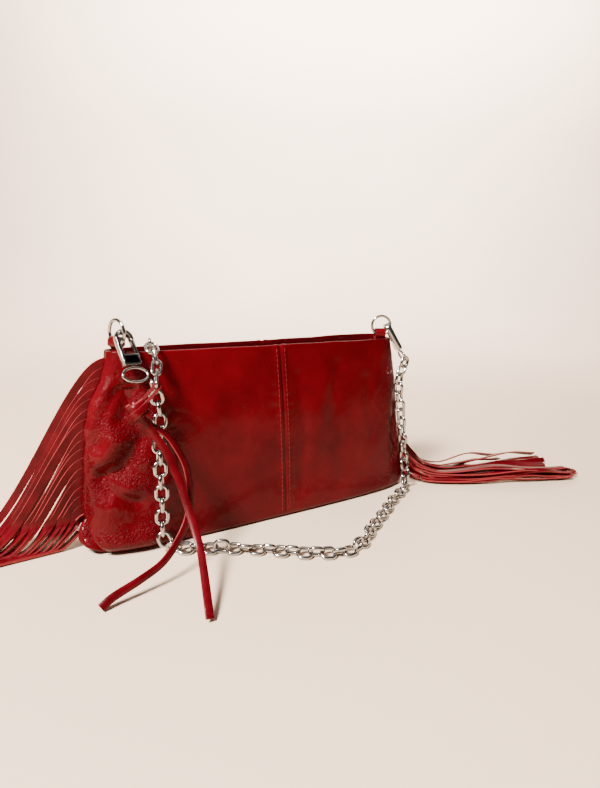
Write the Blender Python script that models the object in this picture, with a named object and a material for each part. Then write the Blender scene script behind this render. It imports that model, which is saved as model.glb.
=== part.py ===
"""Fringed leather clutch purse with a recessed zip, a tassel pull and a clip-on chain.

Metres, +Z up. The origin is the middle of the base, on the surface that the purse stands on.
+X runs along the purse, -Y is its front. The mouth is at the top, between two side tabs.
"""
import math

import bmesh
import bpy
import numpy as np
from mathutils import Matrix, Vector

# ---- the bag's driving dimensions
BAG_HEIGHT = 0.146
RIM_LENGTH = 0.259
RIM_DEPTH = 0.033
RIM_SHIFT = -0.004           # the soft mouth leans this far towards -X
BASE_LENGTH = 0.298
BASE_DEPTH = 0.061
BELLY = 0.003                # how far the faces swell at mid height
SQUARENESS = 4.0             # superellipse exponent of the bag's outline
GAP = 0.0003                 # clearance between touching pieces
LAYER_GAP = 0.0005           # the same between layers that follow the outline
LEATHER = 0.0012
FACING_THICKNESS = 0.0010
FACING_WIDTH = 0.024
LINING_THICKNESS = 0.0007
STIFFENER_THICKNESS = 0.0014
PANEL_STEPS = (10, 6)        # how finely a panel is divided, along and up
SEAM_HALF_GAP = 0.0010       # half the room between front and back leather at a side seam

# ---- zip
ZIP_HEIGHT = 0.1395
ZIP_HALF_LENGTH = 0.108
ZIP_MIDDLE = -0.005           # the zip sits a little towards -X, as the mouth does
ZIP_TAPE_THICKNESS = 0.0006
ZIP_TAPE_INNER = 0.0022      # the tape's inner edge, from the zip's centre line
ZIP_TEETH_INNER = 0.0007
ZIP_TEETH_OUTER = 0.0019
ZIP_TEETH_HEIGHT = 0.0022
ZIP_STOP_HALF_LENGTH = 0.0012
ZIP_STOP_HALF_HEIGHT = 0.0016
ZIP_STOP_HALF_WIDTH = 0.0028
SLIDER_CLOSED_X = -0.100
SLIDER_LENGTH = 0.0095
SLIDER_WIDTH = 0.0080
SLIDER_PLATE = 0.0011
BAIL_RADIUS = 0.0007
BAIL_HALF_SPAN = 0.0036
BAIL_TOP = 0.1464

# ---- chain and pull links: ovals of round wire
LINK_LENGTH = 0.0127
LINK_WIDTH = 0.0100
LINK_WIRE = 0.0022
LINK_CLEARANCE = 3 * GAP     # the room between two links that hang in each other
CHAIN_CORD_SPACING = 0.0100
CHAIN_TUBE_RADIUS = 0.0045

# ---- rings, tabs and clasps
RING_DIAMETER = 0.0200
RING_WIRE = 0.0025
TAB_WIDTH = 0.0098
TAB_THICKNESS = 0.0011
TAB_FOLD_RADIUS = 0.0028     # inside radius of the fold that holds the ring
TAB_FOOT_DEPTH = 0.0045      # how far the tab runs down inside the mouth
CLASP_WIDTH = 0.0124
CLASP_THICKNESS = 0.0046
CLASP_BAR = 0.0023
CLASP_HEAD = 0.0047          # from the ring's wire up to the inside of the clasp's head
CLASP_WINDOW = 0.0128        # from the ring's wire down to the clasp's block
CLASP_BLOCK = 0.0082
PIN_RADIUS = 0.0006
PIN_PLAY = 0.0002
STUD_RADIUS = 0.0009
STUD_HEAD_RADIUS = 0.0016
GATE_RECESS = 0.0004         # how far the gate's faces sit in from the clasp's
EYE_WIDTH = 0.0198
EYE_HEIGHT = 0.0130
EYE_WIRE = 0.0022

# ---- fringe: one piece of leather cut into strips, sewn into each side seam
FRINGE_STRIPS = 18
FRINGE_LENGTH = 0.235
FRINGE_THICKNESS = 0.0010
FRINGE_BOTTOM = 0.012
FRINGE_TOP = 0.140
FRINGE_FLOOR_GAP = 0.0004     # the least room under a strip
FRINGE_CUT = 0.0009          # the slit between two strips at the seam
FRINGE_FLOOR_WIDTH = 0.0036  # a strip's width where it lies on the floor
FRINGE_SPREAD = 0.5          # below 1, the strips spread apart early
FRINGE_STAND_OFF = 0.0012     # where the strips part, past the end of the leather
FRINGE_OVERRUN = 1.3         # the path runs past the fan's end, and the strip is cut to length on it
FRINGE_SAMPLE_POWER = 1.25   # above 1, sections crowd near the seam, where a strip bends most
FRINGE_HEADER = 0.0025        # how far the comb's back reaches into the seam

TASSEL_TAIL_RADIUS = 0.0023
TAIL_CORD_SPACING = 0.0085
KNOT_LOOP_SLOPE = 1.7         # how far along the strap its two sides come apart, as a share of its bend

# Side by side: how the two ends of the bag differ.
SIDES = {
    "left": {
        "sign": -1,
        "tab": (-0.1241, -0.0037), "tab_turn": -68.0,
        "ring": (-0.1236, -0.0050, 0.1572), "ring_turn": -68.0, "hook_turn": -27.0,
        "hang": (0.12, -0.60, -0.79), "face": (0.20, -0.84, 0.50),
        "fan_front": (-0.366, -0.012), "fan_back": (-0.318, 0.062),
        "reach": 0.80, "reach_low": 0.014, "leave": (0.10, 0.02), "land": (0.50, 0.75),
    },
    "right": {
        "sign": 1,
        "tab": (0.1138, -0.0046), "tab_turn": -24.0,
        "ring": (0.1144, -0.0050, 0.1590), "ring_turn": -25.0, "hook_turn": -28.0,
        "hang": (0.42, -0.30, -0.855), "face": (0.806, -0.35, 0.476),
        "fan_front": (0.338, -0.090), "fan_back": (0.318, -0.016),
        "reach": 0.64, "reach_low": 0.022, "leave": (0.35, 0.12), "land": (0.55, 0.85),
    },
}

# ---- routes of the loose pieces, chosen point by point
CHAIN_LEFT_ROUTE = [
    (-0.1046, -0.0270, 0.1190), (-0.1032, -0.0268, 0.1120), (-0.1018, -0.0270, 0.1030),
    (-0.1022, -0.0285, 0.0900), (-0.1040, -0.0305, 0.0760), (-0.1040, -0.0322, 0.0650),
    (-0.1040, -0.0340, 0.0500), (-0.1046, -0.0358, 0.0340), (-0.1050, -0.0372, 0.0210),
    (-0.1040, -0.0384, 0.0110), (-0.0990, -0.0412, 0.0056), (-0.0900, -0.0452, 0.0048),
    (-0.0800, -0.0500, 0.0048), (-0.0670, -0.0570, 0.0048), (-0.0550, -0.0638, 0.0048),
    (-0.0430, -0.0712, 0.0048), (-0.0320, -0.0795, 0.0048), (-0.0215, -0.0875, 0.0048),
]
CHAIN_RIGHT_ROUTE = [
    (-0.0090, -0.0958, 0.0048), (0.0030, -0.1010, 0.0048), (0.0150, -0.1030, 0.0048),
    (0.0280, -0.0998, 0.0048), (0.0400, -0.0925, 0.0048), (0.0520, -0.0840, 0.0048),
    (0.0660, -0.0750, 0.0048), (0.0800, -0.0666, 0.0048), (0.0930, -0.0580, 0.0048),
    (0.1060, -0.0500, 0.0048), (0.1180, -0.0440, 0.0048), (0.1290, -0.0375, 0.0056),
    (0.1360, -0.0315, 0.0120), (0.1378, -0.0270, 0.0250), (0.1372, -0.0242, 0.0410),
    (0.1358, -0.0225, 0.0580), (0.1336, -0.0213, 0.0740), (0.1306, -0.0205, 0.0900),
    (0.1288, -0.0198, 0.1030), (0.1278, -0.0192, 0.1140),
]
TAIL_FRONT_ROUTE = [
    (-0.1128, -0.0415, 0.1078), (-0.1084, -0.0448, 0.0945), (-0.1040, -0.0490, 0.0816),
    (-0.1004, -0.0535, 0.0699), (-0.0972, -0.0585, 0.0589), (-0.0952, -0.0690, 0.0437),
    (-0.0943, -0.0850, 0.0275), (-0.0964, -0.0970, 0.0203), (-0.0990, -0.1090, 0.0134),
    (-0.1011, -0.1185, 0.0075), (-0.1022, -0.1240, 0.0028),
]
TAIL_BACK_ROUTE = [
    (-0.1076, -0.0396, 0.1060), (-0.1062, -0.0412, 0.1005), (-0.1029, -0.0435, 0.0935),
    (-0.0984, -0.0460, 0.0858), (-0.0922, -0.0510, 0.0721), (-0.0903, -0.0550, 0.0586),
    (-0.0907, -0.0575, 0.0499), (-0.0944, -0.0625, 0.0370), (-0.1036, -0.0690, 0.0253),
    (-0.1154, -0.0750, 0.0162), (-0.1301, -0.0790, 0.0112), (-0.1477, -0.0825, 0.0066),
    (-0.1552, -0.0842, 0.0028),
]
PULL_LINK_WIDTH = 0.0080
PULL_OVER_RIM = (-0.1035, -0.0178, 0.1482)     # the middle of the link that leans on the rim
PULL_LEAN = (0.0, -0.72, -0.69)                # the way that link lies
PULL_BARS = [                                  # where the links below it bear on each other
    (-0.1026, -0.0267, 0.1370), (-0.1046, -0.0316, 0.1310), (-0.1062, -0.0366, 0.1255),
]
KNOT_CENTRE = (-0.1119, -0.0386, 0.1153)
KNOT_SIZE = (0.0140, 0.0115, 0.0125)
KNOT_STRAP_RADIUS = 0.0008
KNOT_LOOP_BEND = 0.0030
CHAIN_MIDDLE = (-0.0152, -0.0918, 0.0052)

LEATHER_RED = (0.235, 0.012, 0.014)
LINING_RED = (0.110, 0.010, 0.012)
SILVER = (0.72, 0.71, 0.70)


def mix(a, b, t):
    return a + (b - a) * t


def along_floor(degrees):
    """The horizontal direction turned this far from +X."""
    return Vector((math.cos(math.radians(degrees)), math.sin(math.radians(degrees)), 0))


# ---------------------------------------------------------------- materials and objects
def material(name, colour, roughness, metallic=0.0):
    made = bpy.data.materials.new(name)
    made.use_nodes = True
    shader = made.node_tree.nodes["Principled BSDF"]
    shader.inputs["Base Color"].default_value = (*colour, 1)
    shader.inputs["Roughness"].default_value = roughness
    shader.inputs["Metallic"].default_value = metallic
    return made


def finish_piece(name, mesh, colour, roughness, metallic, smooth_angle=35.0):
    mesh.materials.append(material(name + "_finish", colour, roughness, metallic))
    mesh.shade_smooth()
    mesh.set_sharp_from_angle(angle=math.radians(smooth_angle))
    piece = bpy.data.objects.new(name, mesh)
    bpy.context.collection.objects.link(piece)
    return piece


def mesh_of(bm, name):
    bmesh.ops.recalc_face_normals(bm, faces=bm.faces)
    mesh = bpy.data.meshes.new(name)
    bm.to_mesh(mesh)
    bm.free()
    return mesh


def leather_piece(name, mesh):
    return finish_piece(name, mesh, LEATHER_RED, 0.22, 0.0)


def fabric_piece(name, mesh):
    return finish_piece(name, mesh, LINING_RED, 0.85, 0.0)


def metal_piece(name, mesh):
    return finish_piece(name, mesh, SILVER, 0.12, 1.0)


def boolean(piece, other, operation, own_crossings=False):
    """Combine piece with other and keep only the result."""
    step = piece.modifiers.new(operation.lower(), "BOOLEAN")
    step.operation = operation
    step.object = other
    step.solver = "EXACT"
    step.use_self = own_crossings
    bpy.context.view_layer.update()
    seen = piece.evaluated_get(bpy.context.evaluated_depsgraph_get())
    result = bpy.data.meshes.new_from_object(seen)
    piece.modifiers.clear()
    piece.data = result
    bpy.data.objects.remove(other)
    return piece


def carry_origin(piece, point):
    """Give a moving piece its origin on its joint's axis, without moving its surface."""
    shift = Matrix.Translation(Vector(point))
    piece.data.transform(shift.inverted() @ piece.matrix_world)
    piece.matrix_world = shift


# ---------------------------------------------------------------- solid builders
def sheet_solid(name, cells, place):
    """A closed sheet from grid cells. place(column, row, side) gives a corner on face 0 or 1."""
    bm = bmesh.new()
    corners = {}

    def corner(column, row, side):
        key = (column, row, side)
        if key not in corners:
            corners[key] = bm.verts.new(place(column, row, side))
        return corners[key]

    edges = {}
    for column, row in cells:
        loop = [(column, row), (column + 1, row), (column + 1, row + 1), (column, row + 1)]
        bm.faces.new([corner(*at, 0) for at in loop])
        bm.faces.new([corner(*at, 1) for at in reversed(loop)])
        for start, end in zip(loop, loop[1:] + loop[:1]):
            if (end, start) in edges:
                del edges[(end, start)]
            else:
                edges[(start, end)] = True
    for start, end in edges:
        wall = [corner(*start, 0), corner(*start, 1), corner(*end, 1), corner(*end, 0)]
        bm.faces.new(wall)
    bmesh.ops.triangulate(bm, faces=bm.faces[:])
    return mesh_of(bm, name)


def loop_frames(points, closed):
    """A tangent and two normals at each point, carried along without twist."""
    count = len(points)
    frames = []
    side = None
    for i, point in enumerate(points):
        before = points[(i - 1) % count] if closed or i else point
        after = points[(i + 1) % count] if closed or i < count - 1 else point
        tangent = (after - before).normalized()
        if side is None:
            side = tangent.orthogonal()
        side = (side - tangent * side.dot(tangent)).normalized()
        frames.append((tangent, side, tangent.cross(side)))
    return frames


def tube_mesh(name, points, radius, sides, closed):
    """Round wire along points: a closed loop, or an open run with flat ends."""
    points = [Vector(p) for p in points]
    bm = bmesh.new()
    rings = []
    for point, (_, u, v) in zip(points, loop_frames(points, closed)):
        ring = []
        for k in range(sides):
            turn = 2 * math.pi * k / sides
            ring.append(bm.verts.new(point + (u * math.cos(turn) + v * math.sin(turn)) * radius))
        rings.append(ring)
    pairs = list(zip(rings, rings[1:]))
    if closed:
        pairs.append((rings[-1], rings[0]))
    for ring, following in pairs:
        for k in range(sides):
            after = (k + 1) % sides
            bm.faces.new((ring[k], ring[after], following[after], following[k]))
    if not closed:
        bm.faces.new(rings[0])
        bm.faces.new(rings[-1])
    return mesh_of(bm, name)


def oval_points(centre, long_way, wide_way, length, width, count):
    """Points round a stadium: two straight sides joined by half circles."""
    centre, long_way, wide_way = Vector(centre), Vector(long_way), Vector(wide_way)
    radius = width / 2
    straight = max(length / 2 - radius, 0)
    points = []
    for k in range(count):
        turn = 2 * math.pi * (k + 0.5) / count
        along = math.copysign(straight, math.cos(turn)) + radius * math.cos(turn)
        points.append(centre + long_way * along + wide_way * radius * math.sin(turn))
    return points


def link_mesh(name, centre, long_way, wide_way, length=LINK_LENGTH, width=LINK_WIDTH):
    """One oval link of the chain."""
    loop = oval_points(centre, long_way, wide_way, length - LINK_WIRE, width - LINK_WIRE, 12)
    return tube_mesh(name, loop, LINK_WIRE / 2, 6, closed=True)


def prism(name, outline, half_thickness, frame):
    """Extrude an outline of (across, up) points both ways along the frame's Y axis."""
    bm = bmesh.new()
    faces = []
    for side in (-half_thickness, half_thickness):
        faces.append([bm.verts.new((across, side, up)) for across, up in outline])
    bm.faces.new(faces[0])
    bm.faces.new(list(reversed(faces[1])))
    for k in range(len(outline)):
        after = (k + 1) % len(outline)
        bm.faces.new((faces[0][k], faces[1][k], faces[1][after], faces[0][after]))
    mesh = mesh_of(bm, name)
    mesh.transform(frame)
    return mesh


def cylinder(name, radius, start, end, sides, frame):
    """A plain round bar between two points of the frame."""
    mesh = tube_mesh(name, [start, end], radius, sides, closed=False)
    mesh.transform(frame)
    return mesh


def loose(mesh):
    """A helper object that a boolean uses up."""
    helper = bpy.data.objects.new(mesh.name, mesh)
    bpy.context.collection.objects.link(helper)
    helper.hide_render = True
    helper.display_type = "WIRE"
    return helper


def box_outline(low_across, low_up, high_across, high_up):
    return [(low_across, low_up), (high_across, low_up), (high_across, high_up), (low_across, high_up)]


# ---------------------------------------------------------------- the bag's outline
def outline_size(height):
    """Half length, half depth and X middle of the bag's outline at a height."""
    t = height / BAG_HEIGHT
    half_length = mix(BASE_LENGTH, RIM_LENGTH, t) / 2
    half_depth = mix(BASE_DEPTH, RIM_DEPTH, t) / 2 + BELLY * math.sin(math.pi * t)
    return half_length, half_depth, RIM_SHIFT * t


def outline_depth(x, height, inset):
    """How far the outline, drawn in by inset, stands from the X axis at x."""
    half_length, half_depth, middle = outline_size(height)
    share = min(abs(x - middle) / (half_length - inset), 1)
    return (half_depth - inset) * (1 - share ** SQUARENESS) ** (1 / SQUARENESS)


def outline_point(sign_x, sign_y, fraction, height, inset, keep_x=0.0, keep_y=0.0):
    """A point on one quarter of the outline, from the middle (0) to the side seam (1)."""
    half_length, half_depth, middle = outline_size(height)
    share = math.sin(math.pi / 2 * fraction)
    reach = half_length - inset
    x = keep_x + (reach - keep_x) * share
    depth = (half_depth - inset - keep_y) * max(1 - share ** SQUARENESS, 0) ** (1 / SQUARENESS)
    return Vector((middle * (1 - keep_x / reach) + sign_x * x, sign_y * (keep_y + depth), height))


def wall_mesh(name, sign_x, sign_y, low, high, inset, thickness, steps, keep_x, keep_y):
    """A quarter of the bag's wall, between two insets from the outline."""
    across, up = steps

    def place(column, row, side):
        height = mix(low, high, row / up)
        depth = inset + side * thickness
        return outline_point(sign_x, sign_y, column / across, height, depth, keep_x, keep_y)

    cells = [(column, row) for column in range(across) for row in range(up)]
    return sheet_solid(name, cells, place)


def outline_ring(height, inset, steps):
    """The whole outline at one height, anticlockwise."""
    half_length, half_depth, middle = outline_size(height)
    ring = []
    for k in range(4 * steps):
        quarter, part = divmod(k, steps)
        fraction = part / steps
        turn = math.pi / 2 * fraction
        share = math.cos(turn) if quarter % 2 == 0 else math.sin(turn)
        sign_x = 1 if quarter in (0, 3) else -1
        sign_y = 1 if quarter in (0, 1) else -1
        depth = (half_depth - inset) * max(1 - share ** SQUARENESS, 0) ** (1 / SQUARENESS)
        ring.append(Vector((middle + sign_x * (half_length - inset) * share, sign_y * depth, height)))
    return ring


def plate_mesh(name, low, high, inset, steps=8):
    """A flat plate of the base's outline."""
    bm = bmesh.new()
    rings = []
    for height in (low, high):
        flat = outline_ring(0, inset, steps)
        rings.append([bm.verts.new((p.x, p.y, height)) for p in flat])
    bm.faces.new(rings[0])
    bm.faces.new(rings[1])
    for k in range(len(rings[0])):
        after = (k + 1) % len(rings[0])
        bm.faces.new((rings[0][k], rings[0][after], rings[1][after], rings[1][k]))
    return mesh_of(bm, name)


def cup_mesh(name, low, high, inset, thickness, steps, rows):
    """An open cup that follows the bag's outline: the sewn lining."""
    bm = bmesh.new()
    skins = []
    for side, bottom in ((0, low), (1, low + thickness)):
        skin = []
        for row in range(rows + 1):
            ring = outline_ring(mix(bottom, high, row / rows), inset + side * thickness, steps)
            skin.append([bm.verts.new(p) for p in ring])
        skins.append(skin)
    count = len(skins[0][0])
    for skin in skins:
        bm.faces.new(skin[0])
        for ring, following in zip(skin, skin[1:]):
            for k in range(count):
                after = (k + 1) % count
                bm.faces.new((ring[k], ring[after], following[after], following[k]))
    for k in range(count):
        after = (k + 1) % count
        bm.faces.new((skins[0][-1][k], skins[0][-1][after], skins[1][-1][after], skins[1][-1][k]))
    return mesh_of(bm, name)


# ---------------------------------------------------------------- the bag
INSIDE_LEATHER = LEATHER + LAYER_GAP
LINING_TOP = BAG_HEIGHT - FACING_WIDTH - GAP
STIFFENER_LOW = LEATHER + GAP
LINING_LOW = STIFFENER_LOW + STIFFENER_THICKNESS + GAP


def make_shell():
    """Four outer panels, a base, and a board that keeps the base flat."""
    for face, sign_y in (("front", -1), ("back", 1)):
        for end, sign_x in (("left", -1), ("right", 1)):
            name = f"{face}_panel_{end}"
            mesh = wall_mesh(name, sign_x, sign_y, 0, BAG_HEIGHT, 0, LEATHER, PANEL_STEPS,
                             GAP / 2, SEAM_HALF_GAP)
            leather_piece(name, mesh)
    leather_piece("base_panel", plate_mesh("base_panel", 0, LEATHER, INSIDE_LEATHER))
    board_top = STIFFENER_LOW + STIFFENER_THICKNESS
    board_inset = INSIDE_LEATHER + 0.001
    fabric_piece("base_stiffener", plate_mesh("base_stiffener", STIFFENER_LOW, board_top, board_inset))


def make_lining():
    """A fabric sack, a slip pocket on its back wall, and leather facings round the mouth."""
    lining_inset = INSIDE_LEATHER + LAYER_GAP
    mesh = cup_mesh("lining", LINING_LOW, LINING_TOP, lining_inset, LINING_THICKNESS, 9, 5)
    fabric_piece("lining", mesh)

    pocket_inset = lining_inset + LINING_THICKNESS + LAYER_GAP
    half_width = 0.062
    low, high = 0.045, 0.108

    def place_pocket(column, row, side):
        x = mix(-half_width, half_width, column / 8)
        height = mix(low, high, row / 3)
        inset = pocket_inset + side * LINING_THICKNESS
        return Vector((x, outline_depth(x, height, inset), height))

    cells = [(column, row) for column in range(8) for row in range(3)]
    fabric_piece("inner_pocket", sheet_solid("inner_pocket", cells, place_pocket))

    for face, sign_y in (("front", -1), ("back", 1)):
        name = f"facing_{face}"

        def place(column, row, side):
            fraction = abs(column - 10) / 10
            sign_x = -1 if column < 10 else 1
            height = mix(BAG_HEIGHT - FACING_WIDTH, BAG_HEIGHT - GAP, row / 2)
            inset = INSIDE_LEATHER + side * FACING_THICKNESS
            return outline_point(sign_x, sign_y, fraction, height, inset, 0, SEAM_HALF_GAP)

        cells = [(column, row) for column in range(20) for row in range(2)]
        leather_piece(name, sheet_solid(name, cells, place))


def make_zip():
    """Tapes, rows of teeth, end stops, and the slider that runs between them along X."""
    tape_inset = INSIDE_LEATHER + FACING_THICKNESS + LAYER_GAP
    half_tape = ZIP_TAPE_THICKNESS / 2
    for face, sign_y in (("front", -1), ("back", 1)):
        name = f"zip_tape_{face}"

        def place(column, row, side):
            x = ZIP_MIDDLE + mix(-ZIP_HALF_LENGTH, ZIP_HALF_LENGTH, column / 14)
            outer = outline_depth(x, ZIP_HEIGHT, tape_inset)
            y = ZIP_TAPE_INNER if row == 0 else outer
            return Vector((x, sign_y * y, ZIP_HEIGHT + (half_tape if side else -half_tape)))

        fabric_piece(name, sheet_solid(name, [(column, 0) for column in range(14)], place))

        half_teeth = ZIP_TEETH_HEIGHT / 2
        row_outline = box_outline(-ZIP_HALF_LENGTH, -half_teeth, ZIP_HALF_LENGTH, half_teeth)
        middle = sign_y * (ZIP_TEETH_INNER + ZIP_TEETH_OUTER) / 2
        frame = Matrix.Translation((ZIP_MIDDLE, middle, ZIP_HEIGHT))
        half_row = (ZIP_TEETH_OUTER - ZIP_TEETH_INNER) / 2
        metal_piece(f"zip_teeth_{face}", prism(f"zip_teeth_{face}", row_outline, half_row, frame))

    half_stop = ZIP_STOP_HALF_LENGTH
    stop_outline = box_outline(-half_stop, -ZIP_STOP_HALF_HEIGHT, half_stop, ZIP_STOP_HALF_HEIGHT)
    for end, sign_x in (("left", -1), ("right", 1)):
        stop_x = ZIP_MIDDLE + sign_x * (ZIP_HALF_LENGTH + half_stop + GAP)
        frame = Matrix.Translation((stop_x, 0, ZIP_HEIGHT))
        metal_piece(f"zip_stop_{end}", prism(f"zip_stop_{end}", stop_outline, ZIP_STOP_HALF_WIDTH, frame))


def make_slider():
    """Two plates round the teeth, a wedge between the rows, and a bail on top."""
    frame = Matrix.Translation((SLIDER_CLOSED_X, 0, ZIP_HEIGHT))
    inner = ZIP_TEETH_HEIGHT / 2 + GAP
    half_length = SLIDER_LENGTH / 2
    half_width = SLIDER_WIDTH / 2
    plates = []
    for side in (1, -1):
        low, high = sorted((side * inner, side * (inner + SLIDER_PLATE)))
        outline = box_outline(-half_length, low, half_length, high)
        plates.append(prism("plate", outline, half_width, frame))
    slider = metal_piece("zip_slider", plates[0])
    slider.data.name = "zip_slider"
    boolean(slider, loose(plates[1]), "UNION")
    wedge = box_outline(-half_length + 0.0005, -inner - 0.0003, -half_length + 0.0030, inner + 0.0003)
    boolean(slider, loose(prism("wedge", wedge, 0.0004, frame)), "UNION")
    foot = ZIP_HEIGHT + inner + SLIDER_PLATE / 2
    arch = []
    for k in range(9):
        turn = math.pi * k / 8
        x = SLIDER_CLOSED_X - BAIL_HALF_SPAN * math.cos(turn)
        arch.append((x, 0, foot + (BAIL_TOP - foot) * math.sin(turn) ** 0.7))
    boolean(slider, loose(tube_mesh("bail", arch, BAIL_RADIUS, 6, closed=False)), "UNION")
    carry_origin(slider, (SLIDER_CLOSED_X, 0, ZIP_HEIGHT))


# ---------------------------------------------------------------- the zip's pull
def link_between(start, start_radius, end, beyond):
    """Middle, direction and length of a link pulled taut from a bar to beyond a point."""
    way = (end - start).normalized()
    near = start - way * (start_radius + LINK_WIRE / 2 + LINK_CLEARANCE)
    far = end + way * beyond
    return (near + far) / 2, way, (far - near).length + LINK_WIRE


def make_pull():
    """A long link from the slider's bail, one that leans on the rim, and links to the tassel."""
    across = Vector((1, 0, 0))
    bail = Vector((SLIDER_CLOSED_X, 0, BAIL_TOP))
    over_rim = Vector(PULL_OVER_RIM)
    lean = Vector(PULL_LEAN).normalized()
    half = (LINK_LENGTH - LINK_WIRE) / 2
    hanger = over_rim + lean * half
    centre, way, length = link_between(bail, BAIL_RADIUS, over_rim - lean * half, LINK_WIRE + GAP)
    wide = way.cross(across).normalized()
    first = link_mesh("pull_link_1", centre, way, wide, length, PULL_LINK_WIDTH)
    carry_origin(metal_piece("pull_link_1", first), bail)
    second = metal_piece("pull_link_2", link_mesh("pull_link_2", over_rim, lean, across))
    carry_origin(second, bail)

    bars = [hanger] + [Vector(bar) for bar in PULL_BARS]
    for number, (start, end) in enumerate(zip(bars, bars[1:]), start=3):
        beyond = KNOT_STRAP_RADIUS + LINK_WIRE / 2 + LINK_CLEARANCE if end is bars[-1] else 0
        centre, way, length = link_between(start, LINK_WIRE / 2, end, beyond)
        turned = way.cross(across).normalized()
        wide = turned if number % 2 else turned.cross(way)
        name = f"pull_link_{number}"
        piece = metal_piece(name, link_mesh(name, centre, way, wide, length, PULL_LINK_WIDTH))
        carry_origin(piece, hanger)


def knot_mesh(name, centre, size, rows=7, around=10, power=0.55):
    """A soft boxy knot: a squared-off ellipsoid."""
    bm = bmesh.new()

    def shaped(value):
        return math.copysign(abs(value) ** power, value)

    rings = []
    for row in range(1, rows):
        lift = math.pi * row / rows - math.pi / 2
        ring = []
        for k in range(around):
            turn = 2 * math.pi * (k + 0.5) / around
            x = shaped(math.cos(lift)) * shaped(math.cos(turn)) * size[0] / 2
            y = shaped(math.cos(lift)) * shaped(math.sin(turn)) * size[1] / 2
            z = shaped(math.sin(lift)) * size[2] / 2
            ring.append(bm.verts.new((centre[0] + x, centre[1] + y, centre[2] + z)))
        rings.append(ring)
    bm.faces.new(rings[0])
    bm.faces.new(rings[-1])
    for ring, following in zip(rings, rings[1:]):
        for k in range(around):
            after = (k + 1) % around
            bm.faces.new((ring[k], ring[after], following[after], following[k]))
    return mesh_of(bm, name)


def points_along(line, stops):
    """Points at the given distances along a line, and nothing else changed."""
    lengths = run_lengths(line)
    table = np.array([tuple(p) for p in line])
    columns = [np.interp(stops, lengths, table[:, axis]) for axis in range(3)]
    return [Vector(map(float, spot)) for spot in zip(*columns)]


def run_lengths(line):
    """How far along the line each of its points lies."""
    lengths = [0.0]
    for a, b in zip(line, line[1:]):
        lengths.append(lengths[-1] + (b - a).length)
    return lengths


def smooth_route(points, spacing):
    """Points at an even spacing on a smooth curve through the given ones."""
    knots = [Vector(p) for p in points]
    knots = [knots[0] * 2 - knots[1]] + knots + [knots[-1] * 2 - knots[-2]]
    dense = []
    for a, b, c, d in zip(knots, knots[1:], knots[2:], knots[3:]):
        for k in range(12):
            t = k / 12
            dense.append(0.5 * (2 * b + (c - a) * t + (2 * a - 5 * b + 4 * c - d) * t * t
                                + (3 * b - a - 3 * c + d) * t ** 3))
    dense.append(knots[-2])
    total = run_lengths(dense)[-1]
    count = max(int(round(total / spacing)), 2)
    return points_along(dense, np.linspace(0, total, count + 1))


def cord(name, route, radius, spacing, colour, roughness, metallic):
    """A limp piece as a round tube along its route, with filled ends."""
    line = smooth_route(route, spacing)
    curve = bpy.data.curves.new(name, "CURVE")
    curve.dimensions = "3D"
    curve.bevel_depth = radius
    curve.bevel_resolution = 2
    curve.use_fill_caps = True
    spline = curve.splines.new("POLY")
    spline.points.add(len(line) - 1)
    for point, place in zip(spline.points, line):
        point.co = (*place, 1)
    curve.materials.append(material(name + "_finish", colour, roughness, metallic))
    piece = bpy.data.objects.new(name, curve)
    bpy.context.collection.objects.link(piece)
    return piece


def make_tassel():
    """A knot with a loop through the last pull link, and two leather tails."""
    knot = leather_piece("tassel_knot", knot_mesh("tassel_knot", KNOT_CENTRE, KNOT_SIZE))
    lean = Vector(PULL_LEAN).normalized()
    hanger = Vector(PULL_OVER_RIM) + lean * (LINK_LENGTH - LINK_WIRE) / 2
    top = Vector(PULL_BARS[-1])
    way = (top - Vector(PULL_BARS[-2])).normalized()
    side = way.cross(way.cross(Vector((1, 0, 0)))).normalized()
    bend = KNOT_LOOP_BEND
    arch = [Vector(KNOT_CENTRE) + side * bend, top + side * bend + way * bend * KNOT_LOOP_SLOPE]
    for k in range(9):
        turn = math.pi * k / 8
        arch.append(top + side * bend * math.cos(turn) + way * bend * (1 - math.sin(turn)))
    arch += [top - side * bend + way * bend * KNOT_LOOP_SLOPE, Vector(KNOT_CENTRE) - side * bend]
    boolean(knot, loose(tube_mesh("strap_loop", arch, KNOT_STRAP_RADIUS, 6, closed=False)), "UNION")
    carry_origin(knot, hanger)
    for name, route in (("front", TAIL_FRONT_ROUTE), ("back", TAIL_BACK_ROUTE)):
        cord(f"tassel_tail_{name}", route, TASSEL_TAIL_RADIUS, TAIL_CORD_SPACING, LEATHER_RED, 0.25, 0.0)


# ---------------------------------------------------------------- tabs, rings and clasps
def strap_outline(fold_height, foot):
    """Section of the folded strap: an arch over two legs that are stitched together below it."""
    radius = TAB_FOLD_RADIUS
    outer = radius + TAB_THICKNESS
    slit = 0.0002
    leg = slit + TAB_THICKNESS
    pinch, shoulder = BAG_HEIGHT - 0.0006, BAG_HEIGHT + 0.0009
    steps = 8
    outline = [(-leg, foot), (-leg, pinch), (-outer, shoulder + 0.0004)]
    for k in range(steps + 1):
        turn = math.pi * (1 - k / steps)
        outline.append((outer * math.cos(turn), fold_height + outer * math.sin(turn)))
    outline += [(outer, shoulder + 0.0004), (leg, pinch), (leg, foot)]
    outline += [(slit, foot), (slit, pinch), (radius, shoulder)]
    for k in range(steps + 1):
        turn = math.pi * k / steps
        outline.append((radius * math.cos(turn), fold_height + radius * math.sin(turn)))
    outline += [(-radius, shoulder), (-slit, pinch), (-slit, foot)]
    return outline


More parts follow.
